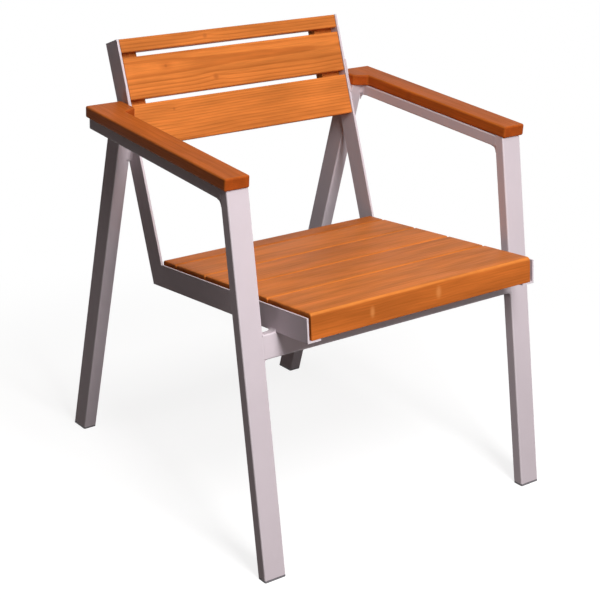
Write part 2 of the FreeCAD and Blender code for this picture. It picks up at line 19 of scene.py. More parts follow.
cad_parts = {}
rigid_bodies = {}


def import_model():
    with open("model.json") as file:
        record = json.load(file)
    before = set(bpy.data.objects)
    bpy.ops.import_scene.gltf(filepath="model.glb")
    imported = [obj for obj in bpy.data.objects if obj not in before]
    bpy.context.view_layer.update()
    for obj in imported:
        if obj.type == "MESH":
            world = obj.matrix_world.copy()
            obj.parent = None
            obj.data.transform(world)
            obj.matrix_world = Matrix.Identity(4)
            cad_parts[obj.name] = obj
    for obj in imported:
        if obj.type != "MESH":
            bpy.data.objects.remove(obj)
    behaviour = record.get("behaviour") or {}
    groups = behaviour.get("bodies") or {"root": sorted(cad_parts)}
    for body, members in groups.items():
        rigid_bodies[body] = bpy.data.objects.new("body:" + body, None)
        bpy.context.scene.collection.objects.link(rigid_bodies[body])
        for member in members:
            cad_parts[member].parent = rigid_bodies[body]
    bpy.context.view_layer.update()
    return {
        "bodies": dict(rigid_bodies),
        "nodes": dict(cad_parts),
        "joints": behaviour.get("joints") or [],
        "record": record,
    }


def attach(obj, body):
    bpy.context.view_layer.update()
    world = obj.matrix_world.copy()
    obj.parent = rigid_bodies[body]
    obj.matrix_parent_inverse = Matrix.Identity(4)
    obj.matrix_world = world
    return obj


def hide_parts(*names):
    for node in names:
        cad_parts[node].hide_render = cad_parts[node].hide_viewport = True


LOG = logging.getLogger("garden_armchair")
BODY = "root"

Colour = tuple[float, float, float]
Point = tuple[float, float, float]
Reach = tuple[float, float]
Item = bpy.types.Object
Material = bpy.types.Material
Mesh = bpy.types.Mesh
Node = bpy.types.Node
Shape = bmesh.types.BMesh
Socket = bpy.types.NodeSocket
Tree = bpy.types.NodeTree


class Slot(Enum):
    """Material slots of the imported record."""

    POWDER_COAT = "powder_coat"
    TIMBER = "timber"
    PLUG_PLASTIC = "plug_plastic"
    SCREW_STEEL = "screw_steel"


class Side(Enum):
    """Sides of the chair, as the sitter sees them."""

    LEFT = 1
    RIGHT = -1

    @property
    def word(self) -> str:
        """Name of the side in the node names."""
        return self.name.lower()


class Through(Enum):
    """Board axis that a knot's branch runs along, so that the knot shows on the faces across it."""

    ACROSS = 1
    THICKNESS = 2


class Facing(Enum):
    """Which local axis of a slat is its thickness."""

    UP = "seat"
    FORWARD = "back"


@dataclass(frozen=True)
class LocalFrame:
    """Frame that leans about the chair's X axis.

    Attributes:
        back: Y of its origin.
        up: Z of its origin.
        turn: turn about X in degrees.
    """

    back: float
    up: float
    turn: float

    def to_world(self, x: float, y: float, z: float) -> Vector:
        """Place of a local point in the chair's frame.

        Args:
            x: local X.
            y: local Y.
            z: local Z.

        Returns:
            The place.
        """
        angle = math.radians(self.turn)
        return Vector((
            x,
            self.back + y * math.cos(angle) - z * math.sin(angle),
            self.up + y * math.sin(angle) + z * math.cos(angle),
        ))

    def step(self, x: float, y: float, z: float) -> Vector:
        """Local step as a step in the chair's frame."""
        return self.to_world(x, y, z) - self.to_world(0.0, 0.0, 0.0)

    def to_local(self, spot: Vector) -> Vector:
        """Local place of a point of the chair's frame."""
        return LocalFrame(0.0, 0.0, -self.turn).to_world(spot.x, spot.y - self.back, spot.z - self.up)


FRONT_LEG = LocalFrame(back=-0.347608, up=0.0, turn=-8.48)
REAR_LEG = LocalFrame(back=0.329093, up=0.0, turn=17.37)
ARM = LocalFrame(back=-0.255020, up=0.621, turn=4.56)
SEAT = LocalFrame(back=0.081777, up=0.366285, turn=-4.2)
BACK = LocalFrame(back=0.081777, up=0.366285, turn=-18.5)
LOCAL_Y = 1
LOCAL_Z = 2


def opaque(colour: Colour) -> tuple[float, float, float, float]:
    """Colour with full alpha."""
    return (*colour, 1.0)


def label(word: str) -> str:
    """Socket name that a keyword stands for."""
    return word.replace("_", " ")


class NodePen:
    """Adds nodes to a tree and joins them. A source is a socket to link or a constant to set."""

    def __init__(self, tree: Tree) -> None:
        """Keep the tree that is written to."""
        self.tree = tree

    def feed(self, socket: Socket, source: Any) -> None:
        """Link a socket to another socket, or set it to a constant.

        Args:
            socket: input to feed.
            source: socket or constant.
        """
        if isinstance(source, Socket):
            self.tree.links.new(source, socket)
        else:
            socket.default_value = source

    def add(self, kind: str, sources: Mapping[Any, Any] | None = None, **settings: Any) -> Node:
        """New node with its properties set and its inputs fed.

        Args:
            kind: Blender's type name of the node.
            sources: sources by the input's name or number.
            **settings: properties of the node.

        Returns:
            The node.
        """
        node = self.tree.nodes.new(kind)
        for name, setting in settings.items():
            setattr(node, name, setting)
        for key, source in (sources or {}).items():
            self.feed(node.inputs[key], source)
        return node

    def math(self, operation: str, *sources: Any, clamp: bool = False) -> Socket:
        """Result of a Math node."""
        node = self.add("ShaderNodeMath", dict(enumerate(sources)), operation=operation, use_clamp=clamp)
        return node.outputs[0]

    def diagonal(self, first: Socket, second: Socket) -> Socket:
        """Length of the diagonal over two values."""
        squares = [self.math("MULTIPLY", value, value) for value in (first, second)]
        return self.math("SQRT", self.math("ADD", *squares))

    def split(self, vector: Any) -> tuple[Socket, ...]:
        """The three parts of a vector."""
        return tuple(self.add("ShaderNodeSeparateXYZ", {0: vector}).outputs)

    def join(self, *parts: Any) -> Socket:
        """Vector of three parts."""
        return self.add("ShaderNodeCombineXYZ", dict(enumerate(parts))).outputs[0]

    def vector(self, operation: str, first: Any, second: Any) -> Socket:
        """Vector result of a Vector Math node."""
        return self.add("ShaderNodeVectorMath", {0: first, 1: second}, operation=operation).outputs[0]

    def layer(self, name: str, kind: str = "Fac") -> Socket:
        """Named layer of the mesh, as a number, or as a vector where the kind is Vector."""
        return self.add("ShaderNodeAttribute", attribute_name=name).outputs[kind]

    def noise(self, vector: Any, scale: Any, detail: float, rough: float = 0.5) -> Socket:
        """Value of a noise texture."""
        sources = {"Vector": vector, "Scale": scale, "Detail": detail, "Roughness": rough}
        return self.add("ShaderNodeTexNoise", sources).outputs[0]

    def mix(self, factor: Any, first: Any, second: Any, blend: str = "MIX") -> Socket:
        """Mix of two colours."""
        sources = {0: factor, 6: first, 7: second}
        return self.add("ShaderNodeMix", sources, data_type="RGBA", blend_type=blend).outputs[2]

    def shade(self, colour: Any, level: Socket) -> Socket:
        """Colour times a grey level."""
        return self.mix(1.0, colour, self.join(level, level, level), "MULTIPLY")

    def fade(self, value: Any, low: float, high: float, start: float = 0.0, end: float = 1.0) -> Socket:
        """Smooth step from start at low to end at high."""
        sources = {"Value": value, "From Min": low, "From Max": high, "To Min": start, "To Max": end}
        return self.add("ShaderNodeMapRange", sources, interpolation_type="SMOOTHSTEP").outputs[0]

    def ramp(self, value: Any, stops: Sequence[Reach]) -> Socket:
        """Grey ramp through some stops.

        Args:
            value: place on the ramp.
            stops: position and level of each stop.

        Returns:
            The level.
        """
        node = self.add("ShaderNodeValToRGB", {0: value})
        elements = node.color_ramp.elements
        while len(elements) < len(stops):
            elements.new(0.5)
        for element, (position, level) in zip(elements, stops):
            element.position = position
            element.color = (level, level, level, 1.0)
        return node.outputs[0]


class ShaderGroups:
    """Shader node groups that the finishes share."""

    # Stretch of the bends, clouds and fibres along, across and through a board
    BENDS = (2.6, 9.0, 9.0)
    CLOUDS = (5.0, 38.0, 38.0)
    FIBRES = (16.0, 620.0, 620.0)
    # Density over one growth ring, as stops of place and level
    RING = ((0.0, 0.0), (0.5, 0.16), (0.84, 1.0), (0.92, 0.85), (1.0, 0.0))
    # Fall of the rings' bulge round a knot, along and across the grain
    BULGE = (-0.05, -0.22)
    # Where a knot is full and where it has gone, in shares of its radius
    KNOT_EDGE = (0.2, 1.35)
    LEAST_KNOT = 0.0001
    # Values that the clouds and patches, and the fibres, keep between
    NOISE_REACH = (0.25, 0.75)
    FIBRE_REACH = (0.2, 0.8)
    # Share of the mottle that shows in the gloss
    GLOSS_SHARE = 0.6
    # Scale of the patches on the lighter edges, which are partly wear and partly painted highlight, and the
    # strength of the faintest one
    PATCH_SCALE = 34.0
    FAINT_PATCH = 0.6

    def __init__(self) -> None:
        """Build each group once."""
        self.grain = self._pine_grain()
        self.mottle = self._mottle()
        self.worn_edge = self._worn_edge()

    @staticmethod
    def _start(name: str, inputs: dict[str, str], outputs: dict[str, str]) -> tuple[NodePen, Any, Any]:
        """Empty group with named sockets.

        Args:
            name: name of the group.
            inputs: socket types by input name.
            outputs: socket types by output name.

        Returns:
            The pen, the input sockets and the output sockets.
        """
        tree = bpy.data.node_groups.new(name, "ShaderNodeTree")
        for way, kinds in (("INPUT", inputs), ("OUTPUT", outputs)):
            for word, kind in kinds.items():
                tree.interface.new_socket(name=word, in_out=way, socket_type="NodeSocket" + kind)
        pen = NodePen(tree)
        return pen, pen.add("NodeGroupInput").outputs, pen.add("NodeGroupOutput").inputs

    def _pine_grain(self) -> Tree:
        """Growth rings, fibres and knots of a board, from its stock coordinates.

        Returns:
            The group.
        """
        pen, given, result = self._start(
            "pine_grain",
            {"Stock": "Vector", "Knot A": "Vector", "Knot B": "Vector", "Ring Pitch": "Float",
             "Wander": "Float", "Swirl": "Float"},
            {"Latewood": "Float", "Knot": "Float", "Fibre": "Float", "Cloud": "Float"},
        )
        stretches = (self.BENDS, self.CLOUDS, self.FIBRES)
        bends, clouds, fibres = (pen.vector("MULTIPLY", given["Stock"], stretch) for stretch in stretches)
        _, across, through = pen.split(given["Stock"])
        bend = pen.math("SUBTRACT", pen.noise(bends, scale=1.0, detail=2.0), 0.5)
        ring = pen.math("DIVIDE", pen.diagonal(across, through), given["Ring Pitch"])
        ring = pen.math("MULTIPLY_ADD", bend, given["Wander"], ring)
        knots = []
        for word in ("Knot A", "Knot B"):
            run, rise, wide = pen.split(given[word])
            wide = pen.math("MAXIMUM", wide, self.LEAST_KNOT)
            run, rise = (pen.math("DIVIDE", value, wide) for value in (run, rise))
            falls = [
                pen.math("MULTIPLY", pen.math("MULTIPLY", value, value), fall)
                for value, fall in zip((run, rise), self.BULGE)
            ]
            swirl = pen.math("EXPONENT", pen.math("ADD", *falls))
            ring = pen.math("MULTIPLY_ADD", swirl, given["Swirl"], ring)
            knots.append(pen.fade(pen.diagonal(run, rise), *self.KNOT_EDGE, 1.0, 0.0))
        pen.feed(result["Latewood"], pen.ramp(pen.math("FRACT", ring), self.RING))
        pen.feed(result["Knot"], pen.math("MAXIMUM", *knots))
        pen.feed(result["Fibre"], pen.noise(fibres, scale=1.0, detail=3.0, rough=0.6))
        pen.feed(result["Cloud"], pen.noise(clouds, scale=1.0, detail=3.0, rough=0.55))
        return pen.tree

    def _mottle(self) -> Tree:
        """Broad unevenness and a fine skin, for colour, gloss and bump.

        Returns:
            The group.
        """
        pen, given, result = self._start(
            "mottle",
            {"Vector": "Vector", "Broad Scale": "Float", "Fine Scale": "Float", "Amount": "Float"},
            {"Shade": "Float", "Gloss": "Float", "Skin": "Float"},
        )
        broad = pen.noise(given["Vector"], given["Broad Scale"], detail=3.0, rough=0.6)
        centred = pen.math("MULTIPLY", pen.math("SUBTRACT", broad, 0.5), given["Amount"])
        pen.feed(result["Shade"], pen.math("ADD", centred, 1.0))
        pen.feed(result["Gloss"], pen.math("MULTIPLY", centred, self.GLOSS_SHARE))
        pen.feed(result["Skin"], pen.noise(given["Vector"], given["Fine Scale"], detail=2.0))
        return pen.tree

    def _worn_edge(self) -> Tree:
        """Lighter finish along the marked edges, broken up by noise: partly wear, partly painted highlight.

        Returns:
            The group.
        """
        pen, given, result = self._start(
            "worn_edge",
            {"Colour": "Color", "Edge Colour": "Color", "Edge": "Float", "Amount": "Float",
             "Vector": "Vector"},
            {"Colour": "Color"},
        )
        patches = pen.noise(given["Vector"], self.PATCH_SCALE, detail=2.0)
        patch = pen.fade(patches, *self.NOISE_REACH, self.FAINT_PATCH)
        strength = pen.math("MULTIPLY", given["Edge"], given["Amount"])
        factor = pen.math("MULTIPLY", strength, patch, clamp=True)
        pen.feed(result["Colour"], pen.mix(factor, given["Colour"], given["Edge Colour"]))
        return pen.tree

    @staticmethod
    def place(pen: NodePen, group: Tree, **sources: Any) -> Any:
        """Put a group in a material and feed its inputs.

        Args:
            pen: pen of the material's tree.
            group: node group to place.
            **sources: sources by input name, with _ for a space.

        Returns:
            The group's output sockets.
        """
        named = {label(word): source for word, source in sources.items()}
        return pen.add("ShaderNodeGroup", named, node_tree=group).outputs

    def speckle(self, pen: NodePen, vector: Socket, mottle: Point) -> Any:
        """Put the mottle group in a material.

        Args:
            pen: pen of the material's tree.
            vector: coordinates of the pattern.
            mottle: broad scale, fine scale and amount.

        Returns:
            The group's output sockets.
        """
        broad, fine, amount = mottle
        return self.place(
            pen, self.mottle, Vector=vector, Broad_Scale=broad, Fine_Scale=fine, Amount=amount
        )

    def lighten_edges(self, pen: NodePen, colour: Socket, edge: Colour, amount: float, vector: Socket) -> Socket:
        """Put the edge group in a material, led by the mesh's arris layer; the lighter edges are partly wear,
        partly painted highlight.

        Args:
            pen: pen of the material's tree.
            colour: colour of the whole finish.
            edge: colour of a lightened edge.
            amount: strength of the lightening.
            vector: coordinates of the pattern.

        Returns:
            The colour with its edges lightened, as wear and painted highlight.
        """
        return self.place(
            pen, self.worn_edge, Colour=colour, Edge_Colour=opaque(edge), Edge=pen.layer("arris"),
            Amount=amount, Vector=vector,
        )["Colour"]


@dataclass(frozen=True)
class Finish:
    """Base of the finishes: a material with one Principled shader.

    Attributes:
        name: name of the material.
    """

    name: str

    def _blank(self) -> tuple[Material, NodePen]:
        """New material and a pen for its tree.

        Returns:
            The material and the pen.
        """
        material = bpy.data.materials.new(self.name)
        material.use_nodes = True
        return material, NodePen(material.node_tree)

    @staticmethod
    def _dress(pen: NodePen, height: Socket, bump: Reach, **sources: Any) -> None:
        """Feed the material's shader.

        Args:
            pen: pen of the material's tree.
            height: height of the surface's relief.
            bump: strength and distance of the relief.
            **sources: sources by input name, with _ for a space.
        """
        shader = pen.tree.nodes["Principled BSDF"]
        strength, distance = bump
        relief = pen.add("ShaderNodeBump", {"Strength": strength, "Distance": distance, "Height": height})
        pen.feed(shader.inputs["Normal"], relief.outputs[0])
        for word, source in sources.items():
            pen.feed(shader.inputs[label(word)], source)


@dataclass(frozen=True)
class StainedPine(Finish):
    """Pine with an orange stain and a thin oil sheen, for slats, boards and battens.

    Attributes:
        pale, deep: colours of the palest and the deepest stain.
        late, end: tints of the latewood and of the end grain.
        knot_dark, knot_pale, rubbed_and_highlit: colours of the knots and of the lighter arrises, partly worn
            stain and partly painted highlight.
        ring_pitch: width of a growth ring.
        wander, swirl: how far the rings wander, and bulge round a knot, in rings.
        mottle: broad scale, fine scale and amount of the stain's unevenness.
        cloud, streak: level of the darkest and the palest cloud and fibre.
        knot_share, wear_and_highlight, end_share: strength of the knots, lighter arrises and end grain.
        dullness: roughness of the dullest and the shiniest fibre.
        relief: height of the fibres and of the rings.
        bump: strength and distance of the relief.
        specular: level of the sheen.
    """

    pale: Colour = (0.69, 0.212, 0.044)
    deep: Colour = (0.46, 0.101, 0.013)
    late: Colour = (0.60, 0.47, 0.40)
    knot_dark: Colour = (0.34, 0.075, 0.015)
    knot_pale: Colour = (0.86, 0.34, 0.10)
    # The arris colour is partly worn stain and partly painted highlight
    rubbed_and_highlit: Colour = (0.86, 0.30, 0.06)
    end: Colour = (0.80, 0.58, 0.52)
    ring_pitch: float = 0.0036
    wander: float = 2.4
    swirl: float = 0.45
    mottle: Point = (6.0, 900.0, 0.34)
    cloud: Reach = (0.80, 1.17)
    streak: Reach = (0.87, 1.10)
    knot_share: float = 0.6
    wear_and_highlight: float = 0.7
    end_share: float = 0.8
    dullness: Reach = (0.55, 0.39)
    relief: Reach = (0.6, 0.5)
    bump: Reach = (0.35, 0.0003)
    specular: float = 0.05

    def build(self, groups: ShaderGroups) -> Material:
        """Make the material from the board's own layers.

        Args:
            groups: shared shader groups.

        Returns:
            The material.
        """
        material, pen = self._blank()
        stock = pen.vector("ADD", pen.layer("stock", "Vector"), pen.layer("shift", "Vector"))
        grain = groups.place(
            pen, groups.grain, Stock=stock, Knot_A=pen.layer("knot_a", "Vector"),
            Knot_B=pen.layer("knot_b", "Vector"), Ring_Pitch=self.ring_pitch, Wander=self.wander,
            Swirl=self.swirl,
        )
        mottle = groups.speckle(pen, stock, self.mottle)
        cloud = pen.fade(grain["Cloud"], *groups.NOISE_REACH, *self.cloud)
        streak = pen.fade(grain["Fibre"], *groups.FIBRE_REACH, *self.streak)
        rings = pen.math("MULTIPLY", grain["Latewood"], pen.layer("figure"), clamp=True)
        knot = pen.mix(pen.layer("knot_tone"), opaque(self.knot_dark), opaque(self.knot_pale))
        tone = pen.mix(pen.layer("stain"), opaque(self.deep), opaque(self.pale))
        tone = pen.shade(tone, pen.math("MULTIPLY", cloud, mottle["Shade"]))
        tone = pen.mix(rings, tone, opaque(self.late), "MULTIPLY")
        tone = pen.shade(tone, streak)
        tone = pen.mix(pen.math("MULTIPLY", grain["Knot"], self.knot_share), tone, knot)
        tone = groups.lighten_edges(pen, tone, self.rubbed_and_highlit, self.wear_and_highlight, stock)
        end_grain = pen.math("MULTIPLY", pen.layer("end_grain"), self.end_share)
        tone = pen.mix(end_grain, tone, opaque(self.end), "MULTIPLY")
        dull = pen.fade(grain["Fibre"], *groups.FIBRE_REACH, *self.dullness)
        fibre_high, ring_high = self.relief
        height = pen.math("MULTIPLY_ADD", grain["Fibre"], fibre_high, pen.math("MULTIPLY", rings, ring_high))
        self._dress(
            pen, height, self.bump, Base_Color=tone, Specular_IOR_Level=self.specular,
            Roughness=pen.math("ADD", dull, mottle["Gloss"]),
        )
        return material


@dataclass(frozen=True)
class Coating(Finish):
    """Even finish with a faint mottle and skin, lighter along its edges, partly as wear and partly as painted
    highlight.

    Attributes:
        colour: its colour.
        edge: colour of the lighter edges, partly thinner or worn coat and partly painted highlight.
        wear_and_highlight: strength of the lighter edges.
        roughness: mean roughness.
        mottle: broad scale, fine scale and amount of the unevenness.
        bump: strength and distance of the skin.
        specular: level of the reflection.
        metallic: 1 for bare metal.
    """

    colour: Colour
    edge: Colour
    wear_and_highlight: float
    roughness: float
    mottle: Point
    bump: Reach
    specular: float = 0.5
    metallic: float = 0.0

    def build(self, groups: ShaderGroups) -> Material:
        """Make the material.

        Args:
            groups: shared shader groups.

        Returns:
            The material.
        """
        material, pen = self._blank()
        place = pen.add("ShaderNodeTexCoord").outputs["Object"]
        mottle = groups.speckle(pen, place, self.mottle)
        tone = pen.shade(opaque(self.colour), mottle["Shade"])
        self._dress(
            pen, mottle["Skin"], self.bump, Base_Color=groups.lighten_edges(pen, tone, self.edge, self.wear_and_highlight, place),
            Roughness=pen.math("ADD", mottle["Gloss"], self.roughness), Specular_IOR_Level=self.specular,
            Metallic=self.metallic,
        )
        return material


STAINED_PINE = StainedPine("stained_pine")
# The powder coat's lighter edge colour is partly thinner coat on the corners and partly painted highlight
# along them
POWDER_COAT = Coating(
    "lilac_grey_powder_coat", colour=(0.66, 0.575, 0.615), edge=(0.84, 0.78, 0.81), wear_and_highlight=0.25,
    roughness=0.45, mottle=(11.0, 900.0, 0.10), bump=(0.10, 0.0003), specular=0.06,
)
MOULDED_PLASTIC = Coating(
    "dark_moulded_plastic", colour=(0.15, 0.14, 0.15), edge=(0.24, 0.22, 0.23), wear_and_highlight=0.5,
    roughness=0.55, mottle=(45.0, 2200.0, 0.4), bump=(0.25, 0.0002),
)
ZINC_STEEL = Coating(
    "zinc_plated_steel", colour=(0.60, 0.60, 0.57), edge=(0.60, 0.60, 0.57), wear_and_highlight=0.0,
    roughness=0.34, mottle=(160.0, 3000.0, 0.35), bump=(0.15, 0.0001), metallic=1.0,
)


class Workshop:
    """Holds the materials and turns meshes into pieces of the chair."""

    def __init__(self, frame: dict[str, Any]) -> None:
        """Build the finishes for a loaded frame.

        Args:
            frame: what the frame's loader gave.
        """
        groups = ShaderGroups()
        self.nodes = frame["nodes"]
        self.materials = {
            Slot.TIMBER: STAINED_PINE.build(groups),
            Slot.POWDER_COAT: POWDER_COAT.build(groups),
            Slot.PLUG_PLASTIC: MOULDED_PLASTIC.build(groups),
            Slot.SCREW_STEEL: ZINC_STEEL.build(groups),
        }

    @staticmethod
    def draft(mesh: Mesh) -> Item:
        """Object for a mesh, named like it and linked into the scene.

        Args:
            mesh: the mesh.

        Returns:
            The object.
        """
        item = bpy.data.objects.new(mesh.name, mesh)
        bpy.context.scene.collection.objects.link(item)
        return item

    def finish(self, item: Item, slot: Slot, *nodes: str) -> None:
        """Dress a piece, fix it to the chair and let it stand for its nodes.

        Args:
            item: the piece, at the origin.
            slot: the record's slot that it belongs to.
            *nodes: CAD nodes that it stands for.
        """
        if not item.data.materials:
            item.data.materials.append(self.materials[slot])
        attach(item, BODY)
        if nodes:
            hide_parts(*nodes)
        LOG.info("%s: %d faces", item.name, len(item.data.polygons))

    def dress_node(self, node: str, slot: Slot) -> None:
        """Give a CAD node that stays its better material."""
        self.nodes[node].material_slots[0].material = self.materials[slot]
        LOG.info("%s: kept from the frame", node)

    def evaluate(self, item: Item, name: str) -> Item:
        """Plain mesh of an object's modifiers, in place of that object.

        Args:
            item: object with modifiers, which is removed.
            name: name of the plain one.

        Returns:
            The plain object.
        """
        graph = bpy.context.evaluated_depsgraph_get()
        mesh = bpy.data.meshes.new_from_object(
            item.evaluated_get(graph), preserve_all_data_layers=True, depsgraph=graph
        )
        bpy.data.objects.remove(item)
        mesh.name = name
        return self.draft(mesh)


class GeometryRecipe:
    """Geometry Nodes tree with named inputs, run on a mesh and turned into a plain mesh."""

    def __init__(self, name: str, inputs: dict[str, str]) -> None:
        """Start a tree.

        Args:
            name: name of the tree.
            inputs: socket types by input name, besides the geometry and the material.
        """
        self.tree = bpy.data.node_groups.new(name, "GeometryNodeTree")
        face = self.tree.interface
        face.new_socket(name="Geometry", in_out="INPUT", socket_type="NodeSocketGeometry")
        self.sockets = {
            word: face.new_socket(name=word, in_out="INPUT", socket_type="NodeSocket" + kind)
            for word, kind in {**inputs, "Material": "Material"}.items()
        }
        face.new_socket(name="Geometry", in_out="OUTPUT", socket_type="NodeSocketGeometry")
        self.pen = NodePen(self.tree)
        self.given = self.pen.add("NodeGroupInput").outputs
        self.result = self.pen.add("NodeGroupOutput").inputs

    def scatter(self, word: str, **sources: Any) -> Socket:
        """Put the object of an input on each given point.

        Args:
            word: name of the input.
            **sources: further sources of the instances by input name.

        Returns:
            The instances.
        """
        info = self.pen.add("GeometryNodeObjectInfo", {"Object": self.given[word]})
        return self.pen.add("GeometryNodeInstanceOnPoints", {
            "Points": self.given["Geometry"], "Instance": info.outputs["Geometry"], **sources,
        }).outputs[0]

    def close(self, geometry: Socket) -> None:
        """End the tree: realise the instances and set the material.

        Args:
            geometry: what the tree has made.
        """
        real = self.pen.add("GeometryNodeRealizeInstances", {0: geometry})
        coat = self.pen.add("GeometryNodeSetMaterial", {
            "Geometry": real.outputs[0], "Material": self.given["Material"],
        })
        self.pen.feed(self.result[0], coat.outputs[0])

    def run(self, shop: Workshop, start: Mesh, name: str, slot: Slot, **values: Any) -> Item:
        """Run the tree on a mesh.

        Args:
            shop: workshop that takes the result.
            start: the starting mesh.
            name: name of the finished piece.
            slot: slot whose material it gets.
            **values: values by input name.

        Returns:
            The finished piece, a plain mesh.
        """
        item = shop.draft(start)
        modifier = item.modifiers.new(self.tree.name, "NODES")
        modifier.node_group = self.tree
        for word, value in {**values, "Material": shop.materials[slot]}.items():
            modifier[self.sockets[word].identifier] = value
        item.update_tag()
        return shop.evaluate(item, name)


def bridge(shape: Shape, rings: Sequence[Sequence[bmesh.types.BMVert]]) -> list[bmesh.types.BMFace]:
    """Join rings of vertices to a closed skin.

    Args:
        shape: shape that holds the vertices.
        rings: rings with the same number of vertices, in order.

    Returns:
        The faces that close the first and the last ring.
    """
    ends = [shape.faces.new(rings[0]), shape.faces.new(rings[-1])]
    for low, high in zip(rings, rings[1:]):
        for index, corner in enumerate(low):
            following = (index + 1) % len(low)
            shape.faces.new((corner, low[following], high[following], high[index]))
    return ends


def soften(shape: Shape, limit: float) -> None:
    """Shade a shape smooth, apart from the edges that turn by more than a limit.

    Args:
        shape: the shape.
        limit: the limit in degrees.
    """
    for face in shape.faces:
        face.smooth = True
    for edge in shape.edges:
        edge.smooth = edge.calc_face_angle(math.pi) < math.radians(limit)


def cast(shape: Shape, name: str) -> Mesh:
    """Turn a shape into a mesh and let the shape go.

    Args:
        shape: the shape.
        name: name of the mesh.

    Returns:
        The mesh.
    """
    mesh = bpy.data.meshes.new(name)
    shape.to_mesh(mesh)
    shape.free()
    return mesh


def points_mesh(name: str, points: Sequence[Vector], edges: Sequence[tuple[int, int]] = ()) -> Mesh:
    """Mesh of loose points, or of lines between them.

    Args:
        name: name of the mesh.
        points: the points.
        edges: pairs of points that a line joins.

    Returns:
        The mesh.
    """
    mesh = bpy.data.meshes.new(name)
    mesh.from_pydata(points, edges, [])
    return mesh


def write_layer(mesh: Mesh, name: str, kind: str, domain: str, values: Sequence[Any]) -> None:
    """Store one named layer on a mesh.

    Args:
        mesh: mesh to write to.
        name: name of the layer.
        kind: FLOAT or FLOAT_VECTOR.
        domain: POINT or FACE.
        values: one number or vector per element.
    """
    layer = mesh.attributes.new(name, kind, domain)
    if kind == "FLOAT_VECTOR":
        layer.data.foreach_set("vector", [part for value in values for part in value])
    else:
        layer.data.foreach_set("value", list(values))


@dataclass(frozen=True)
class Knot:
    """A knot in a board.

    Attributes:
        along: place along the grain.
        aside: place across the grain, on the face where it shows.
        radius: half its width.
        through: board axis that it runs along.
        stretch: its length as a share of its width.
    """

    along: float
    aside: float
    radius: float
    through: Through = Through.THICKNESS
    stretch: float = 1.0

    def seen_from(self, place: Point) -> Point:
        """Steps along and across the grain from the knot to a place, and its radius."""
        axis = 1 if self.through is Through.THICKNESS else 2
        return ((place[0] - self.along) / self.stretch, place[axis] - self.aside, self.radius)


@dataclass(frozen=True)
class Stock:
    """How a board was sawn and stained.

    Attributes:
        pith: place of the log's pith from the board's middle, across and through it.
        start: shift along the log.
        stain: 0 for the deepest stain and 1 for the palest.
        figure: strength of the growth rings.
        knots: up to two knots.
        knot_tone: 0 for dark knots and 1 for pale ones.
    """

    pith: tuple[float, float]
    start: float
    stain: float
    figure: float
    knots: tuple[Knot, ...] = ()
    knot_tone: float = 0.0

    def write(self, mesh: Mesh, places: Sequence[Point], stains: Sequence[float] = ()) -> None:
        """Write the layers that the pine finish reads.

        Args:
            mesh: mesh of the board.
            places: each vertex as along, across and through the board.
            stains: stain of each vertex, where it isn't the same all over.
        """
        count = len(places)
        write_layer(mesh, "stock", "FLOAT_VECTOR", "POINT", [
            (along + self.start, across - self.pith[0], through - self.pith[1])
            for along, across, through in places
        ])
        for index, name in enumerate(("knot_a", "knot_b")):
            vectors = [(1.0, 1.0, 0.0)] * count
            if index < len(self.knots):
                vectors = [self.knots[index].seen_from(place) for place in places]
            write_layer(mesh, name, "FLOAT_VECTOR", "POINT", vectors)
        write_layer(mesh, "stain", "FLOAT", "POINT", stains or [self.stain] * count)
        for name, number in (("figure", self.figure), ("knot_tone", self.knot_tone)):
            write_layer(mesh, name, "FLOAT", "POINT", [number] * count)


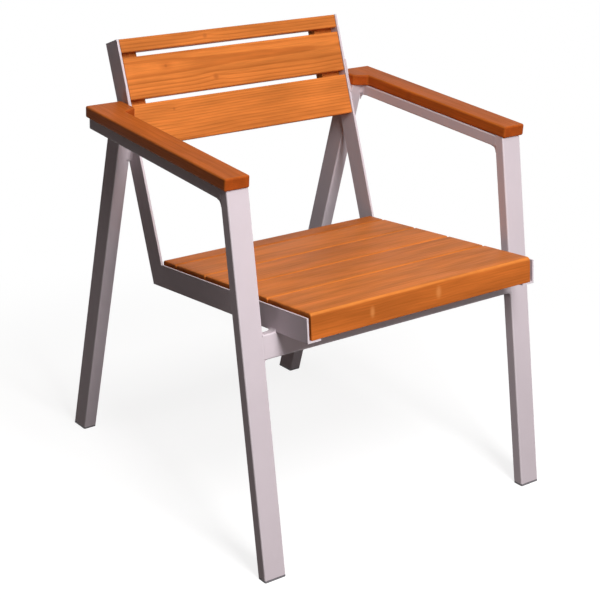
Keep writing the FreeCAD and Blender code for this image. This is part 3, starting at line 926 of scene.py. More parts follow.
@dataclass
class Slat:
    """Straight board across the chair with eased arrises and a hand-sanded surface.

    Attributes:
        name: name of the piece.
        frame: local frame that it lies in.
        half_length: half its length along X.
        near: low corner of its section in the local frame, Y and Z.
        far: high corner of its section.
        rounds: radii at near-low, far-low, far-high and near-high.
        stock: how it was sawn.
        seed: start of its sanding waves.
        facing: which way its face looks.
        end_round: radius of the sawn ends' upper arrises.
        end_share: share of that radius on the other arrises of the ends.
        wear: extra rounding of the near-high arris at the +X end.
        face_stain: how much deeper the stain is on the near face.
        wear_and_highlight: how far the near-high arris is lightened, as worn stain and painted highlight.
        corner_steps: steps round each arris.
        run_steps: steps along the board.
        side_steps: steps across each flat side.
    """

    name: str
    frame: LocalFrame
    half_length: float
    near: tuple[float, float]
    far: tuple[float, float]
    rounds: tuple[float, float, float, float]
    stock: Stock
    seed: float
    facing: Facing = Facing.UP
    end_round: float = 0.0015
    end_share: float = 1.0
    wear: float = 0.0
    face_stain: float = 0.0
    wear_and_highlight: float = 0.0
    corner_steps: int = 6
    run_steps: int = 44
    side_steps: int = 6

    # Ways from each corner of the section towards its middle
    INWARDS = ((1.0, 1.0), (-1.0, 1.0), (-1.0, -1.0), (1.0, -1.0))
    NEAR_HIGH = 3
    # Sway of the arrises' radii, and its scale along the board and from arris to arris
    SWAY = 0.22
    SWAY_SCALE = (9.0, 3.1)
    # Least radius of an arris, length of the worn stretch, and how fast the lighter band of wear and painted
    # highlight fades
    LEAST_ROUND = 0.0002
    WEAR_RUN = 0.075
    RUB_SHARPNESS = 0.7
    # Steps round the ends' arrises, and the turn of each in degrees
    END_STEPS = 4
    END_TURN = 30.0
    # Depth of the sanding waves, their scale along and across the board, and their shift by the seed
    WAVE = 0.00022
    WAVE_SCALE = (7.0, 26.0)
    SEED_STEP = 1.7
    # Strength of the end grain
    END_GRAIN = 0.3

    @property
    def _middle(self) -> Reach:
        """Middle of the section, local Y and Z."""
        return (self.near[0] + self.far[0]) / 2.0, (self.near[1] + self.far[1]) / 2.0

    def _arc(self, index: int, corner: Reach, small: float, x: float) -> list[Point]:
        """Round arris of the section.

        Args:
            index: which corner of the section.
            corner: its sharp corner, local Y and Z.
            small: how far the arris is drawn in.
            x: place along the board.

        Returns:
            Points as local Y and Z with the arris mark of each.
        """
        along, apart = self.SWAY_SCALE
        sway = 1.0 - self.SWAY * abs(noise.noise(Vector((x * along, index * apart, self.seed))))
        radius = self.rounds[index] * sway
        strength = 0.0
        if index == self.NEAR_HIGH:
            radius += self.wear * max(0.0, (x - self.half_length + self.WEAR_RUN) / self.WEAR_RUN) ** 2
            strength = self.wear_and_highlight
        radius = max(radius - small, self.LEAST_ROUND)
        centre_y, centre_z = (edge + way * radius for edge, way in zip(corner, self.INWARDS[index]))
        points = []
        for step in range(self.corner_steps + 1):
            share = step / self.corner_steps
            angle = math.pi * (1.0 + 0.5 * (index + share))
            mark = strength * math.sin(math.pi * share) ** self.RUB_SHARPNESS
            points.append((centre_y + radius * math.cos(angle), centre_z + radius * math.sin(angle), mark))
        return points

    def _section(self, inset: float, x: float) -> list[Point]:
        """Outline of the board at one place, drawn in by some depth.

        Args:
            inset: how far the outline is drawn in.
            x: place along the board.

        Returns:
            Points as local Y and Z with the arris mark of each.
        """
        small = inset * self.end_share
        low_y, low_z = self.near[0] + small, self.near[1] + small
        high_y, high_z = self.far[0] - small, self.far[1] - inset
        corners = ((low_y, low_z), (high_y, low_z), (high_y, high_z), (low_y, high_z))
        arcs = [self._arc(index, corner, small, x) for index, corner in enumerate(corners)]
        outline: list[Point] = []
        for arc, following in zip(arcs, arcs[1:] + arcs[:1]):
            outline.extend(arc)
            begin, end = arc[-1], following[0]
            for step in range(1, self.side_steps):
                share = 0.5 - 0.5 * math.cos(math.pi * step / self.side_steps)
                y, z = (begin[axis] + (end[axis] - begin[axis]) * share for axis in (0, 1))
                outline.append((y, z, 0.0))
        return outline

    def _stations(self) -> list[Reach]:
        """Places along the board with the depth that the outline is drawn in there.

        Returns:
            Place and depth of each.
        """
        inner = self.half_length - self.end_round
        ends = []
        for step in range(self.END_STEPS):
            angle = math.radians(self.END_TURN * step)
            ends.append((inner + self.end_round * math.cos(angle), self.end_round * (1.0 - math.sin(angle))))
        stations = [(-x, inset) for x, inset in ends]
        for step in range(1, self.run_steps):
            stations.append((-inner + 2.0 * inner * step / self.run_steps, 0.0))
        return stations + ends[::-1]

    def _sanded(self, x: float, y: float, z: float) -> Reach:
        """Section point moved inwards a little by the sanding.

        Args:
            x: place along the board.
            y: local Y of the point.
            z: local Z of the point.

        Returns:
            Its new Y and Z.
        """
        along, across = self.WAVE_SCALE
        wave = noise.noise(Vector((
            x * along + self.seed, y * across, z * across + self.seed * self.SEED_STEP,
        )))
        toward = Vector(self._middle) - Vector((y, z))
        toward.length = self.WAVE * (0.5 + 0.5 * wave)
        return y + toward.x, z + toward.y

    def _place(self, x: float, y: float, z: float) -> Point:
        """Point as along, across and through the board, from its middle."""
        y, z = y - self._middle[0], z - self._middle[1]
        return (x, y, z) if self.facing is Facing.UP else (x, z, y)

    def mesh(self) -> Mesh:
        """Build the board's mesh, with its place in the mesh, and its timber layers.

        Returns:
            The mesh.
        """
        shape = bmesh.new()
        marks: list[float] = []
        stains: list[float] = []
        places: list[Point] = []
        rings: list[list[bmesh.types.BMVert]] = []
        for x, inset in self._stations():
            rings.append([])
            for y, z, mark in self._section(inset, x):
                y, z = self._sanded(x, y, z)
                rings[-1].append(shape.verts.new(self.frame.to_world(x, y, z)))
                marks.append(mark)
                places.append(self._place(x, y, z))
                nearness = max(0.0, 1.0 - (y - self.near[0]) / self.rounds[self.NEAR_HIGH])
                stains.append(self.stock.stain - self.face_stain * nearness)
        ends = bridge(shape, rings)
        for face in shape.faces:
            face.smooth = face not in ends
        bmesh.ops.recalc_face_normals(shape, faces=shape.faces)
        end_grain = [self.END_GRAIN * (face in ends) for face in shape.faces]
        mesh = cast(shape, self.name)
        self.stock.write(mesh, places, stains)
        write_layer(mesh, "arris", "FLOAT", "POINT", marks)
        write_layer(mesh, "end_grain", "FLOAT", "FACE", end_grain)
        return mesh


@dataclass
class SeatSlats:
    """The five seat slats on the feet of the seat angles.

    Attributes:
        half_length: half the slats' length.
        bottom, top: their underside and upper side in the seat's frame.
        round_edge, low_edge: radii of the upper and lower arrises.
        nose: radius of the front slat's front arris.
        end_round, end_share: radius of the ends' upper arrises, and its share on the other ones.
        front, middles, rear: front and rear edges of the slats.
        row_shift, row_seed: furthest shift of the grain in the row of equal slats, and its seed.
    """

    half_length: float = 0.2275
    bottom: float = 0.003
    top: float = 0.046
    round_edge: float = 0.004
    nose: float = 0.005
    low_edge: float = 0.0012
    end_round: float = 0.0018
    end_share: float = 0.35
    front: Reach = (-0.454, -0.342)
    middles: tuple[Reach, ...] = ((-0.340, -0.251), (-0.249, -0.160), (-0.158, -0.069))
    rear: Reach = (-0.067, -0.026)
    row_shift: Point = (3.0, 0.05, 0.04)
    row_seed: int = 4

    def _slat(self, name: str, reach: Reach, stock: Stock, seed: float) -> Slat:
        """One slat of the seat.

        Args:
            name: name of the piece.
            reach: its front and rear edge.
            stock: how it was sawn.
            seed: start of its sanding waves.

        Returns:
            The slat.
        """
        return Slat(
            name, SEAT, self.half_length, (reach[0], self.bottom), (reach[1], self.top),
            (self.low_edge, self.low_edge, self.round_edge, self.round_edge), stock, seed,
            end_round=self.end_round, end_share=self.end_share,
        )

    def build(self, shop: Workshop) -> None:
        """Build the front and rear slats by hand and the three equal ones as a row.

        Args:
            shop: workshop that takes the pieces.
        """
        front_knots = (
            Knot(along=0.025, aside=0.003, radius=0.011, through=Through.ACROSS, stretch=0.55),
            Knot(along=-0.110, aside=-0.001, radius=0.010, through=Through.ACROSS, stretch=0.5),
        )
        front_stock = Stock(
            pith=(0.030, -0.105), start=0.4, stain=0.78, figure=0.2, knots=front_knots, knot_tone=0.76
        )
        front = self._slat("front_seat_slat_board", self.front, front_stock, seed=1.3)
        front.rounds = (*front.rounds[:Slat.NEAR_HIGH], self.nose)
        front.wear = 0.002
        # The front arris is lightened strongly, partly as worn stain and partly as painted highlight along
        # the nose
        front.wear_and_highlight = 0.78
        front.face_stain = 0.44
        front.corner_steps = 10
        shop.finish(shop.draft(front.mesh()), Slot.TIMBER, "front_seat_slat")
        # The rear slat's deeper stain is painted shade, for the seat's darker back near the backrest
        rear_stock_with_painted_shade = Stock(pith=(0.06, -0.09), start=2.9, stain=0.50, figure=0.2)
        rear = self._slat("rear_seat_slat_board", self.rear, rear_stock_with_painted_shade, seed=5.1)
        shop.finish(shop.draft(rear.mesh()), Slot.TIMBER, "rear_seat_slat")
        self._row(shop)

    def _row(self, shop: Workshop) -> None:
        """Lay the three equal slats with a Geometry Nodes row.

        Args:
            shop: workshop that takes the piece.
        """
        first = self.middles[0]
        stock = Stock(pith=(0.045, -0.095), start=1.1, stain=0.78, figure=0.25)
        pattern = shop.draft(self._slat("slat_pattern", first, stock, seed=2.7).mesh())
        spots = points_mesh("slat_places", [SEAT.step(0.0, edge - first[0], 0.0) for edge, _ in self.middles])
        recipe = GeometryRecipe("slat_row", {"Slat": "Object", "Shift": "Vector", "Seed": "Int"})
        pen, given = recipe.pen, recipe.given
        chance = pen.add("FunctionNodeRandomValue", {
            "Max": given["Shift"], "Min": (0.0, 0.0, 0.0), "Seed": given["Seed"],
        }, data_type="FLOAT_VECTOR")
        store = pen.add("GeometryNodeStoreNamedAttribute", {
            "Geometry": recipe.scatter("Slat"), "Name": "shift", "Value": chance.outputs[0],
        }, data_type="FLOAT_VECTOR", domain="INSTANCE")
        recipe.close(store.outputs[0])
        row = recipe.run(
            shop, spots, "middle_seat_slat_boards", Slot.TIMBER,
            Slat=pattern, Shift=self.row_shift, Seed=self.row_seed,
        )
        bpy.data.objects.remove(pattern)
        shop.finish(row, Slot.TIMBER, "second_seat_slat", "third_seat_slat", "fourth_seat_slat")


@dataclass
class Panel:
    """Board cut from an outline, with every arris eased, and its grain along the outline's second axis.

    Attributes:
        name: name of the piece.
        frame: local frame that it lies in.
        outline: corners as X and a run along the grain.
        thickness: low and high face.
        arris: radius of its edges.
        stock: how it was sawn.
        flat: true where the outline lies in local X and Y, false where it stands in X and Z.
        segments: steps round each edge.
    """

    name: str
    frame: LocalFrame
    outline: list[Reach]
    thickness: Reach
    arris: float
    stock: Stock
    flat: bool = True
    segments: int = 4

    # Strength of the lighter edges, partly wear and partly painted highlight, and the rise of the end grain
    # as a face turns to the grain
    EDGE_MARK = 0.1
    END_RISE = (2.0, 0.6)

    def _spot(self, across: float, run: float, lift: float) -> Vector:
        """Place of a board point in the chair's frame."""
        local = (across, run, lift) if self.flat else (across, lift, run)
        return self.frame.to_world(*local)

    def _own(self, spot: Vector) -> Point:
        """Board coordinates, along, across and through, of a point of the chair's frame."""
        local = self.frame.to_local(spot)
        return (local.y, local.x, local.z) if self.flat else (local.z, local.x, local.y)

    def mesh(self) -> Mesh:
        """Build the board's mesh, with its place in the mesh, and its timber layers.

        Returns:
            The mesh.
        """
        shape = bmesh.new()
        bridge(shape, [
            [shape.verts.new(self._spot(x, run, face)) for x, run in self.outline] for face in self.thickness
        ])
        bmesh.ops.recalc_face_normals(shape, faces=shape.faces)
        made = bmesh.ops.bevel(
            shape, geom=list(shape.edges), offset=self.arris, offset_type="OFFSET", segments=self.segments,
            profile=0.5, affect="EDGES", clamp_overlap=True, harden_normals=False,
        )
        eased = set(made["faces"])
        grain = self._spot(0.0, 1.0, 0.0) - self._spot(0.0, 0.0, 0.0)
        slope, start = self.END_RISE
        shape.normal_update()
        ends = []
        edges = []
        for face in shape.faces:
            face.smooth = True
            ends.append(min(1.0, max(0.0, slope * abs(face.normal.dot(grain)) - start)))
            edges.append(self.EDGE_MARK * (face in eased))
        mesh = cast(shape, self.name)
        self.stock.write(mesh, [self._own(vertex.co) for vertex in mesh.vertices])
        write_layer(mesh, "arris", "FLOAT", "FACE", edges)
        write_layer(mesh, "end_grain", "FLOAT", "FACE", ends)
        return mesh


@dataclass
class BackSlats:
    """The three back slats between the uprights, and the two battens behind them.

    Attributes:
        half_length: half the slats' length.
        front_face, rear_face: their front and rear in the back's frame.
        batten_rear: the battens' rear, their front being the slats' rear.
        top, middle, bottom: low and high edges of the slats.
        round_edge, low_edge: radii of the front and rear arrises.
        batten_across, batten_reach: inner and outer edge, and foot and head, of the battens.
        batten_arris: radius of the battens' edges.
    """

    half_length: float = 0.230
    front_face: float = -0.040
    rear_face: float = -0.020
    batten_rear: float = 0.0
    top: Reach = (0.397, 0.421)
    middle: Reach = (0.316, 0.389)
    bottom: Reach = (0.235, 0.308)
    round_edge: float = 0.0025
    low_edge: float = 0.0008
    batten_across: Reach = (0.191, 0.231)
    batten_reach: Reach = (0.239, 0.417)
    batten_arris: float = 0.0014

    # Start of the first slat's sanding waves, and the step to the next slat's
    FIRST_SEED = 7.7
    NEXT_SEED = 1.9

    def build(self, shop: Workshop) -> None:
        """Build each back slat and each batten.

        Args:
            shop: workshop that takes the pieces.
        """
        top_knots = (Knot(along=-0.060, aside=0.001, radius=0.005),)
        middle_knots = (
            Knot(along=-0.053, aside=-0.016, radius=0.006), Knot(along=-0.150, aside=0.014, radius=0.003),
        )
        bottom_knots = (Knot(along=-0.150, aside=0.020, radius=0.003),)
        rows = (
            ("top", self.top, Stock(
                pith=(0.05, 0.060), start=0.7, stain=0.90, figure=0.45, knots=top_knots, knot_tone=0.15
            )),
            ("middle", self.middle, Stock(
                pith=(0.012, 0.042), start=1.9, stain=0.92, figure=0.55, knots=middle_knots, knot_tone=0.1
            )),
            ("bottom", self.bottom, Stock(
                pith=(-0.06, 0.055), start=3.3, stain=0.92, figure=0.45, knots=bottom_knots, knot_tone=0.1
            )),
        )
        for index, (word, (low, high), stock) in enumerate(rows):
            slat = Slat(
                word + "_back_slat_board", BACK, self.half_length, (self.front_face, low),
                (self.rear_face, high), (self.round_edge, self.low_edge, self.low_edge, self.round_edge),
                stock, self.FIRST_SEED + self.NEXT_SEED * index, Facing.FORWARD,
            )
            shop.finish(shop.draft(slat.mesh()), Slot.TIMBER, word + "_back_slat")
        for side in Side:
            self._batten(shop, side)

    def _batten(self, shop: Workshop, side: Side) -> None:
        """Batten behind the slats' ends, with its grain upright.

        Args:
            shop: workshop that takes the piece.
            side: side of the chair.
        """
        inner, outer = (side.value * x for x in self.batten_across)
        low, high = self.batten_reach
        outline = [(inner, low), (outer, low), (outer, high), (inner, high)]
        name = side.word + "_back_batten"
        # The battens get the palest stain as painted light, lifting them where they sit shaded behind the
        # slats
        stock = Stock(pith=(0.03 * side.value, 0.06), start=4.4 + side.value, stain=1.0, figure=0.3)
        thickness = (self.rear_face, self.batten_rear)
        panel = Panel(name + "_board", BACK, outline, thickness, self.batten_arris, stock, flat=False)
        shop.finish(shop.draft(panel.mesh()), Slot.TIMBER, name)


@dataclass
class Armrests:
    """The two armrest boards, each with a head that widens inwards over the rear leg.

    Attributes:
        outer, inner, head_inner: X of the outer edge, the inner edge and the head's inner edge.
        front, rear: ends in the arm's frame.
        head, taper: lengths of the head and of the slope to it.
        thick, arris: thickness, and radius of the edges.
    """

    outer: float = 0.305
    inner: float = 0.260
    head_inner: float = 0.235
    front: float = -0.0034
    rear: float = 0.4266
    head: float = 0.046
    taper: float = 0.012
    thick: float = 0.020
    arris: float = 0.003

    def build(self, shop: Workshop) -> None:
        """Build both boards.

        Args:
            shop: workshop that takes the pieces.
        """
        head_start = self.rear - self.head
        plan = [
            (self.outer, self.front), (self.outer, self.rear), (self.head_inner, self.rear),
            (self.head_inner, head_start), (self.inner, head_start - self.taper), (self.inner, self.front),
        ]
        knot = Knot(along=0.250, aside=0.010, radius=0.009, through=Through.ACROSS)
        stocks = {
            Side.LEFT: Stock(pith=(0.33, -0.05), start=5.2, stain=0.12, figure=0.25, knots=(knot,)),
            Side.RIGHT: Stock(pith=(-0.31, -0.07), start=6.9, stain=0.12, figure=0.18),
        }
        for side, stock in stocks.items():
            outline = [(side.value * x, run) for x, run in plan]
            name = side.word + "_armrest_board"
            panel = Panel(name + "_top", ARM, outline, (0.0, self.thick), self.arris, stock)
            item = shop.draft(panel.mesh())
            item.modifiers.new("even_shading", "WEIGHTED_NORMAL")
            shop.finish(item, Slot.TIMBER, name)


def cut(start: Vector, end: Vector, frame: LocalFrame, axis: int, limits: Reach) -> list[Vector]:
    """Part of a line between two values of a local coordinate.

    Args:
        start: start of the line.
        end: end of the line.
        frame: frame of the coordinate.
        axis: number of the coordinate.
        limits: its value at both ends of the part.

    Returns:
        Both ends of the part.
    """
    first, last = frame.to_local(start)[axis], frame.to_local(end)[axis]
    return [start.lerp(end, (limit - first) / (last - first)) for limit in limits]


@dataclass(frozen=True)
class Fillet:
    """Weld that fills an inside corner of two faces with a hollow curve.

    Attributes:
        corner: start of the corner line.
        run: the corner line, from its start to its end.
        first: step along one face, as long as the weld's leg.
        second: step along the other face.
    """

    corner: Vector
    run: Vector
    first: Vector
    second: Vector

    # How far the weld sinks behind the faces, as a share of its legs, and the sides of its curve
    SUNK = 0.1
    STEPS = 7

    def section(self, share: float, swell: float) -> list[Vector]:
        """Closed outline at one place along the corner line.

        Args:
            share: place along the line, from 0 to 1.
            swell: size of the weld there, as a share of its full size.

        Returns:
            Corner points, the first one sunk behind both faces.
        """
        base = self.corner + self.run * share
        points = [base - (self.first + self.second) * self.SUNK]
        for step in range(self.STEPS + 1):
            part = step / self.STEPS
            points.append(base + self.first * (swell * (1.0 - part) ** 2) + self.second * (swell * part ** 2))
        return points


@dataclass
class SteelFrame:
    """Tubes, bars and angles of the welded frame, smoothed copies of the CAD solids, and the welds.

    Attributes:
        nodes: CAD nodes of one side.
        flat_share: share of a piece's area below which a face belongs to a rounded corner.
        merge: how close the vertices are that become one.
        sharp: turn of an edge that stays sharp, in degrees.
        leg_face: X of the front legs' and rails' inner faces, which meet the tube and the rear legs.
        bar_face: X of the uprights' and angles' outer faces, which meet the rear legs' inner faces.
        bar_edges: front and rear edge of the uprights in the back's frame.
        rail_low, rail_start: underside of the rails in the arm's frame, and its front end.
        tube: low and high side of the cross tube in the front leg's frame.
        tube_run: front and length of the cross tube's welds in that frame.
        tube_weld: legs of the welds between cross tube and front leg.
        flange_weld: legs of the weld between angle and cross tube, outwards and up.
        rail_weld_x, rail_weld_wide, rail_weld: inner end, length and legs of the weld of front leg and rail.
        web_x, web_wide, web: inner end, width and legs of the web under the rail at the rear leg.
        rail_side, rail_side_weld: ends over the arm's plane, and legs, of the weld of rear leg and rail.
        bar_side, bar_weld: ends over the arm's plane, and legs, of the weld of rear leg and upright.
        leg_reach: part of the rear leg that holds these welds.
        leg_flat: flat part of the rear leg's sides, in its local Y.
        bar_crossing, rail_crossing: parts of the uprights and rails that cross the rear legs.
        tube_bead, tube_bead_at: ends in X, and Y and Z, of the bead behind the cross tube's top.
        leg_bead, leg_bead_at: ends in Z, and Y, of the bead behind the rear leg.
        flush: welds ground flush, as reaches in X and in the front leg's Y and Z.
        bead: radius of the beads.
        ripple, ripple_deep: length of a ripple, and its depth as a share of the radius.
    """

    nodes: tuple[str, ...] = ("front_leg", "rear_leg", "arm_rail", "back_upright", "seat_angle")
    flat_share: float = 0.05
    merge: float = 2e-6
    sharp: float = 40.0
    leg_face: float = 0.260
    bar_face: float = 0.235
    bar_edges: Reach = (-0.040, 0.0)
    rail_low: float = -0.020
    rail_start: float = 0.015897
    tube: Reach = (0.357859, 0.397859)
    tube_run: Reach = (0.0015, 0.017)
    tube_weld: float = 0.007
    flange_weld: Reach = (0.009, 0.006)
    rail_weld_x: float = 0.2605
    rail_weld_wide: float = 0.039
    rail_weld: float = 0.011
    web_x: float = 0.2594
    web_wide: float = 0.0032
    web: float = 0.012
    rail_side: Reach = (-0.018, -0.001)
    rail_side_weld: float = 0.008
    bar_side: Reach = (-0.079, -0.024)
    bar_weld: Reach = (0.0100, 0.0085)
    leg_reach: Reach = (0.5, 0.7)
    leg_flat: Reach = (0.002, 0.038)
    bar_crossing: Reach = (0.2, 0.36)
    rail_crossing: Reach = (0.30, 0.42)
    tube_bead: Reach = (0.2115, 0.2340)
    tube_bead_at: Reach = (0.0192, 0.398559)
    leg_bead: Reach = (0.676, 0.688)
    leg_bead_at: float = 0.0394
    flush: tuple[tuple[Reach, Reach, Reach], ...] = (
        ((0.2588, 0.2630), (0.0001, 0.0032), (0.360059, 0.395659)),
        ((0.2599, 0.2630), (0.0172, 0.0228), (0.6142, 0.6303)),
        ((0.2970, 0.3001), (0.0172, 0.0228), (0.6142, 0.6303)),
    )
    bead: float = 0.0019
    ripple: float = 0.0026
    ripple_deep: float = 0.10

    # Steps of a fillet in each ripple's length, the least number of them, and its size at the ends
    FILLET_STEPS = 3.0
    LEAST_STEPS = 4
    FILLET_END = 0.82
    # Unevenness of the fillets, its scale along a fillet and from one to the next, and its start
    UNEVEN = 0.10
    UNEVEN_SCALE = (0.55, 2.3, 0.4)
    # Points of a bead in each ripple's length, points round it, its size at the ends and its rise there
    BEAD_STEPS = 6.0
    BEAD_SIDES = 12
    BEAD_END = 0.35
    BEAD_TAPER = 0.6

    def build(self, shop: Workshop) -> None:
        """Build the skins of the steel pieces and the welds.

        Args:
            shop: workshop that takes the pieces.
        """
        names = [side.word + "_" + node for side in Side for node in self.nodes] + ["front_cross_tube"]
        for name in names:
            self._skin(shop, name)
        self._beads(shop)
        self._corner_welds(shop)

    def _skin(self, shop: Workshop, node: str) -> None:
        """Smooth skin of one steel piece, with its rounded corners marked.

        Args:
            shop: workshop with the CAD nodes.
            node: CAD node to copy and stand for.
        """
        shape = bmesh.new()
        shape.from_mesh(shop.nodes[node].data)
        bmesh.ops.remove_doubles(shape, verts=shape.verts, dist=self.merge)
        shape.normal_update()
        areas: dict[tuple[int, ...], float] = {}
        for face in shape.faces:
            key = self._direction(face)
            areas[key] = areas.get(key, 0.0) + face.calc_area()
        small = self.flat_share * sum(areas.values())
        # Rounded corners get the lighter edge colour, partly thinner coat and partly painted highlight
        marks = [float(areas[self._direction(face)] < small) for face in shape.faces]
        soften(shape, self.sharp)
        mesh = cast(shape, node + "_skin")
        write_layer(mesh, "arris", "FLOAT", "FACE", marks)
        item = shop.draft(mesh)
        item.modifiers.new("even_shading", "WEIGHTED_NORMAL").keep_sharp = True
        shop.finish(item, Slot.POWDER_COAT, node)

    @staticmethod
    def _direction(face: bmesh.types.BMFace) -> tuple[int, ...]:
        """Face normal in hundredths, as a key."""
        return tuple(round(part * 100.0) for part in face.normal)

    def _seams(self, sign: int) -> list[Sequence[Vector]]:
        """Lines of the weld beads on one side.

        Args:
            sign: sign of the side's X.

        Returns:
            Both ends of each line.
        """
        leg, bar = sign * self.leg_face, sign * self.bar_face
        seams: list[Sequence[Vector]] = [
            [FRONT_LEG.to_world(sign * x, *self.tube_bead_at) for x in self.tube_bead],
        ]
        for edge in self.bar_edges:
            line = [BACK.to_world(bar, edge, rise) for rise in self.bar_crossing]
            seams.append(cut(*line, REAR_LEG, LOCAL_Y, self.leg_flat))
        line = [ARM.to_world(leg, run, self.rail_low) for run in self.rail_crossing]
        seams.append(cut(*line, REAR_LEG, LOCAL_Y, self.leg_flat))
        seams.append([REAR_LEG.to_world(leg, self.leg_bead_at, rise) for rise in self.leg_bead])
        return seams

    def _leg_edge(self, x: float, limits: Reach) -> list[Vector]:
        """Part of a rear leg's front edge between two heights over the armrest's plane."""
        line = [REAR_LEG.to_world(x, 0.0, rise) for rise in self.leg_reach]
        return cut(*line, ARM, LOCAL_Z, limits)

    def _fillets(self, sign: int) -> list[Fillet]:
        """Welds that fill the inside corners of one side.

        Args:
            sign: sign of the side's X.

        Returns:
            The welds.
        """
        leg, bar = sign * self.leg_face, sign * self.bar_face
        low, high = self.tube
        front, length = self.tube_run
        depth = FRONT_LEG.step(0.0, length, 0.0)
        outwards = Vector((sign, 0.0, 0.0))
        fillets = []
        for height, lift in ((high, self.tube_weld), (low, -self.tube_weld)):
            corner = FRONT_LEG.to_world(leg, front, height)
            fillets.append(Fillet(corner, depth, -outwards * self.tube_weld, FRONT_LEG.step(0.0, 0.0, lift)))
        corner = ARM.to_world(sign * self.rail_weld_x, self.rail_start, self.rail_low)
        fillets.append(Fillet(
            corner, outwards * self.rail_weld_wide, ARM.step(0.0, self.rail_weld, 0.0),
            FRONT_LEG.step(0.0, 0.0, -self.rail_weld),
        ))
        corner = FRONT_LEG.to_world(bar, front, high)
        wide, rise = self.flange_weld
        fillets.append(Fillet(corner, depth, outwards * wide, FRONT_LEG.step(0.0, 0.0, rise)))
        corner, _ = self._leg_edge(sign * self.web_x, (self.rail_low, 0.0))
        down, forward = REAR_LEG.step(0.0, 0.0, -self.web), ARM.step(0.0, -self.web, 0.0)
        fillets.append(Fillet(corner, outwards * self.web_wide, down, forward))
        foot, head = self._leg_edge(leg, self.rail_side)
        forward = ARM.step(0.0, -self.rail_side_weld, 0.0)
        fillets.append(Fillet(foot, head - foot, forward, -outwards * self.rail_side_weld))
        foot, head = self._leg_edge(bar, self.bar_side)
        on_bar, on_leg = self.bar_weld
        fillets.append(Fillet(foot, head - foot, REAR_LEG.step(0.0, -on_bar, 0.0), outwards * on_leg))
        return fillets

    def _corner_welds(self, shop: Workshop) -> None:
        """Build the fillets and the flush welds of the front legs.

        Args:
            shop: workshop that takes the piece.
        """
        shape = bmesh.new()
        along, apart, start = self.UNEVEN_SCALE
        fillets = [fillet for side in Side for fillet in self._fillets(side.value)]
        for number, fillet in enumerate(fillets):
            count = max(self.LEAST_STEPS, round(fillet.run.length / self.ripple * self.FILLET_STEPS))
            rings = []
            for step in range(count + 1):
                swell = 1.0 - self.UNEVEN * abs(noise.noise(Vector((step * along, number * apart, start))))
                if step in (0, count):
                    swell *= self.FILLET_END
                rings.append([shape.verts.new(spot) for spot in fillet.section(step / count, swell)])
            bridge(shape, rings)
        for side in Side:
            for (low_x, high_x), (low_y, high_y), heights in self.flush:
                ring = ((low_x, low_y), (high_x, low_y), (high_x, high_y), (low_x, high_y))
                bridge(shape, [
                    [shape.verts.new(FRONT_LEG.to_world(side.value * x, y, z)) for x, y in ring]
                    for z in heights
                ])
        bmesh.ops.recalc_face_normals(shape, faces=shape.faces)
        soften(shape, self.sharp)
        shop.finish(shop.draft(cast(shape, "corner_welds")), Slot.POWDER_COAT)

    def _beads(self, shop: Workshop) -> None:
        """Rippled beads along the seams, with a Geometry Nodes sweep.

        Args:
            shop: workshop that takes the piece.
        """
        seams = [seam for side in Side for seam in self._seams(side.value)]
        ends = [spot for seam in seams for spot in seam]
        lines = points_mesh("weld_lines", ends, [(2 * index, 2 * index + 1) for index in range(len(seams))])
        recipe = GeometryRecipe("weld_beads", {"Radius": "Float", "Ripple": "Float", "Depth": "Float"})
        pen, given = recipe.pen, recipe.given
        curve = pen.add("GeometryNodeMeshToCurve", {"Mesh": given["Geometry"]})
        spacing = pen.math("DIVIDE", given["Ripple"], self.BEAD_STEPS)
        fine = pen.add("GeometryNodeResampleCurve", {
            "Curve": curve.outputs[0], "Length": spacing,
        }, mode="LENGTH")
        run = pen.add("GeometryNodeSplineParameter").outputs["Length"]
        whole = pen.add("GeometryNodeSplineLength").outputs["Length"]
        turn = pen.math("DIVIDE", pen.math("MULTIPLY", run, 2.0 * math.pi), given["Ripple"])
        swell = pen.math("MULTIPLY_ADD", pen.math("SINE", turn), given["Depth"], 1.0)
        nearest = pen.math("MINIMUM", run, pen.math("SUBTRACT", whole, run))
        nearest = pen.math("DIVIDE", nearest, given["Radius"])
        taper = pen.math("MULTIPLY_ADD", nearest, self.BEAD_TAPER, self.BEAD_END)
        size = pen.math("MULTIPLY", swell, pen.math("MINIMUM", taper, 1.0))
        path = pen.add("GeometryNodeSetCurveRadius", {"Curve": fine.outputs[0], "Radius": size})
        ring = pen.add("GeometryNodeCurvePrimitiveCircle", {
            "Resolution": self.BEAD_SIDES, "Radius": given["Radius"],
        })
        sweep = pen.add("GeometryNodeCurveToMesh", {
            "Curve": path.outputs[0], "Profile Curve": ring.outputs[0], "Fill Caps": True,
        })
        recipe.close(sweep.outputs[0])
        beads = recipe.run(
            shop, lines, "weld_beads", Slot.POWDER_COAT,
            Radius=self.bead, Ripple=self.ripple, Depth=self.ripple_deep,
        )
        shop.finish(beads, Slot.POWDER_COAT)


@dataclass(frozen=True)
class ScrewRow:
    """Screws of one kind.

    Attributes:
        name: CAD node that they stand for.
        length: length under the head.
        places: place under each head and the way that the screw points.
        blunt: true for a blunt end, false for a wood screw's point.
    """

    name: str
    length: float
    places: list[tuple[Vector, Vector]]
    blunt: bool = False


